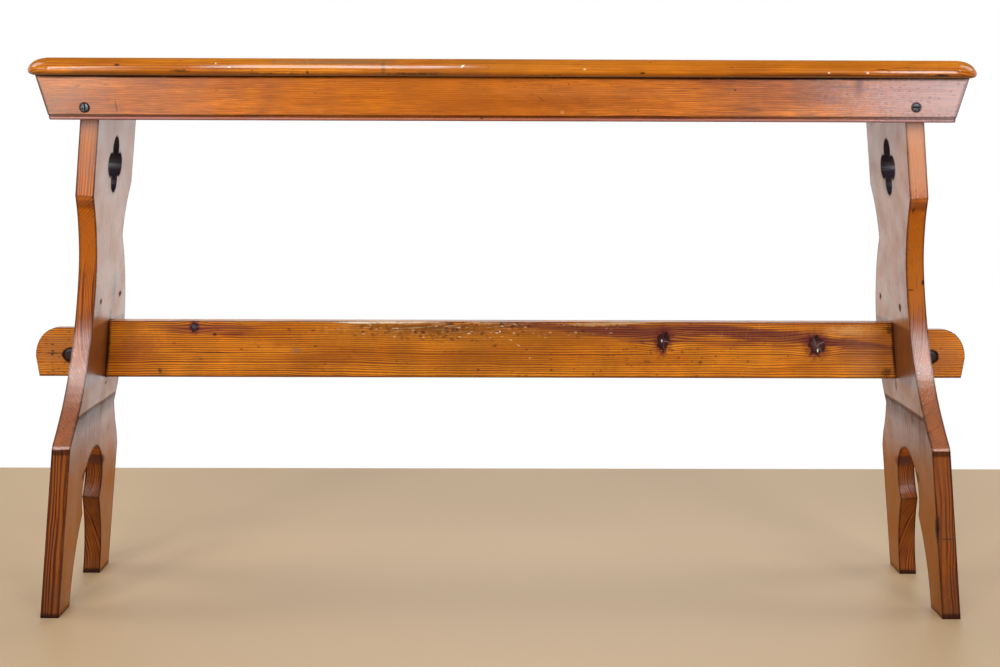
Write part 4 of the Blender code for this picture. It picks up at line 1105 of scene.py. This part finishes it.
def packedGrime():
    # wax and dirt in the slot and round the head, dull black-brown
    material, add = newMaterial("packed wax and grime")
    place = add("TexCoord").outputs["Object"]
    lumps = add("TexNoise", inputs={"Vector": place, "Scale": 900.0, "Detail": 3.0})
    patterned(add, lumps, lumps, ("#070505", "#22140E"), 0.2, {"Roughness": 0.75, "Specular IOR Level": 0.2})
    return material


def darkSteel():
    # old bright screw gone dark, with brown rust in its slot and a few rubbed glints
    material, add = newMaterial("darkened steel screw")
    place = add("TexCoord").outputs["Object"]
    rust = add("TexNoise", inputs={"Vector": place, "Scale": 700.0, "Detail": 4.0})
    share = add("MapRange", inputs=(rust, 0.42, 0.58))
    metal = add("MapRange", inputs=(share, 0.0, 1.0, 0.85, 0.2))
    patterned(add, share, rust, ("#666C74", "#362C2A"), 0.15, {"Metallic": metal, "Roughness": 0.42})
    return material


fastenerShape = {
    "pegDome": 0.55,       # the peg's end stands up a little in the middle
    "domeSteps": ((1.2, 0.5), (2.0, 0.35), (2.6, 0.15)),    # inset, and share of the dome
    "headRim": 0.75,       # grime that has built up round the screw's head
    "headEasing": 0.35,    # how far the rim and the slot's lips have worn down
    "easedFrom": 4.7,      # out from the middle of the head
    "steelWithin": 4.2,
    "headDepth": 0.2,      # what lies this near the front belongs to the face of the head
    "pegShadeFrom": 40,
    "screwShadeFrom": 30,
}


def buildPeg(node, piece, material):
    # both ends of the peg rise in three low steps to a soft dome
    peg = copiedNode(piece, node)
    for way in (-1, 1):
        bpy.ops.mesh.select_all(action="DESELECT")
        selectWhere("faces", lambda face: face.normal.y * way > 0.95)
        for reach, share in fastenerShape["domeSteps"]:
            bpy.ops.mesh.inset(thickness=reach * mm, depth=0.0)
            bpy.ops.transform.translate(value=(0, way * fastenerShape["pegDome"] * share * mm, 0))
    bpy.ops.object.mode_set(mode="OBJECT")
    bpy.ops.object.shade_smooth_by_angle(angle=math.radians(fastenerShape["pegShadeFrom"]))
    finishPiece(peg, [material], "dark peg", node)


def buildScrew(node, piece, way, steel, grime):
    # the head keeps bare steel in its middle; its rim and slot are packed with black grime
    screw = copiedNode(piece, node)
    low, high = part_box(node)
    front = low.y if way < 0 else high.y
    middle = (low + high) / 2
    near = fastenerShape["headDepth"] * mm
    bpy.ops.mesh.select_all(action="DESELECT")
    selectWhere("faces", lambda face: (
        face.normal.y * way > 0.95 and abs(face.calc_center_median().y - front) < near))
    bpy.ops.mesh.inset(thickness=fastenerShape["headRim"] * mm, depth=0.0)
    bpy.ops.object.mode_set(mode="OBJECT")
    for vertex in screw.data.vertices:
        away = math.hypot(vertex.co.x - middle.x, vertex.co.z - middle.z)
        if abs(vertex.co.y - front) < near and away > fastenerShape["easedFrom"] * mm:
            vertex.co.y -= way * fastenerShape["headEasing"] * mm
    bpy.ops.object.shade_smooth_by_angle(angle=math.radians(fastenerShape["screwShadeFrom"]))
    finishPiece(screw, [grime, steel], "dark steel", node)
    for face in screw.data.polygons:
        away = math.hypot(face.center.x - middle.x, face.center.z - middle.z)
        onHead = face.normal.y * way > 0.9 and abs(face.center.y - front) < near
        if onHead and away < fastenerShape["steelWithin"] * mm:
            face.material_index = 1


plainLook = dict(boardLook, early="#D2A46A", deep="#C39254", late="#9A6A34", coat=0.0, roughness=0.7)
barePine = pitchPine("bare sawn pine", plainLook)
pegWood = stainedPeg()
screwSteel = darkSteel()
slotGrime = packedGrime()
for end in ("left", "right"):
    buildPeg(end + "_peg", end + "Peg", pegWood)
for side, way in (("front", -1), ("rear", 1)):
    for end in ("left", "right"):
        node = side + "_apron_" + end + "_screw"
        buildScrew(node, side + "Apron" + end.capitalize() + "Screw", way, screwSteel, slotGrime)
for node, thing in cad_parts.items():
    chosen = None
    if "_cleat_" in node:
        chosen = screwSteel
    elif node.endswith("_cleat") or node.endswith("_glue_block"):
        chosen = barePine
    if chosen:
        thing.data.materials.clear()
        thing.data.materials.append(chosen)
print("small pieces finished")
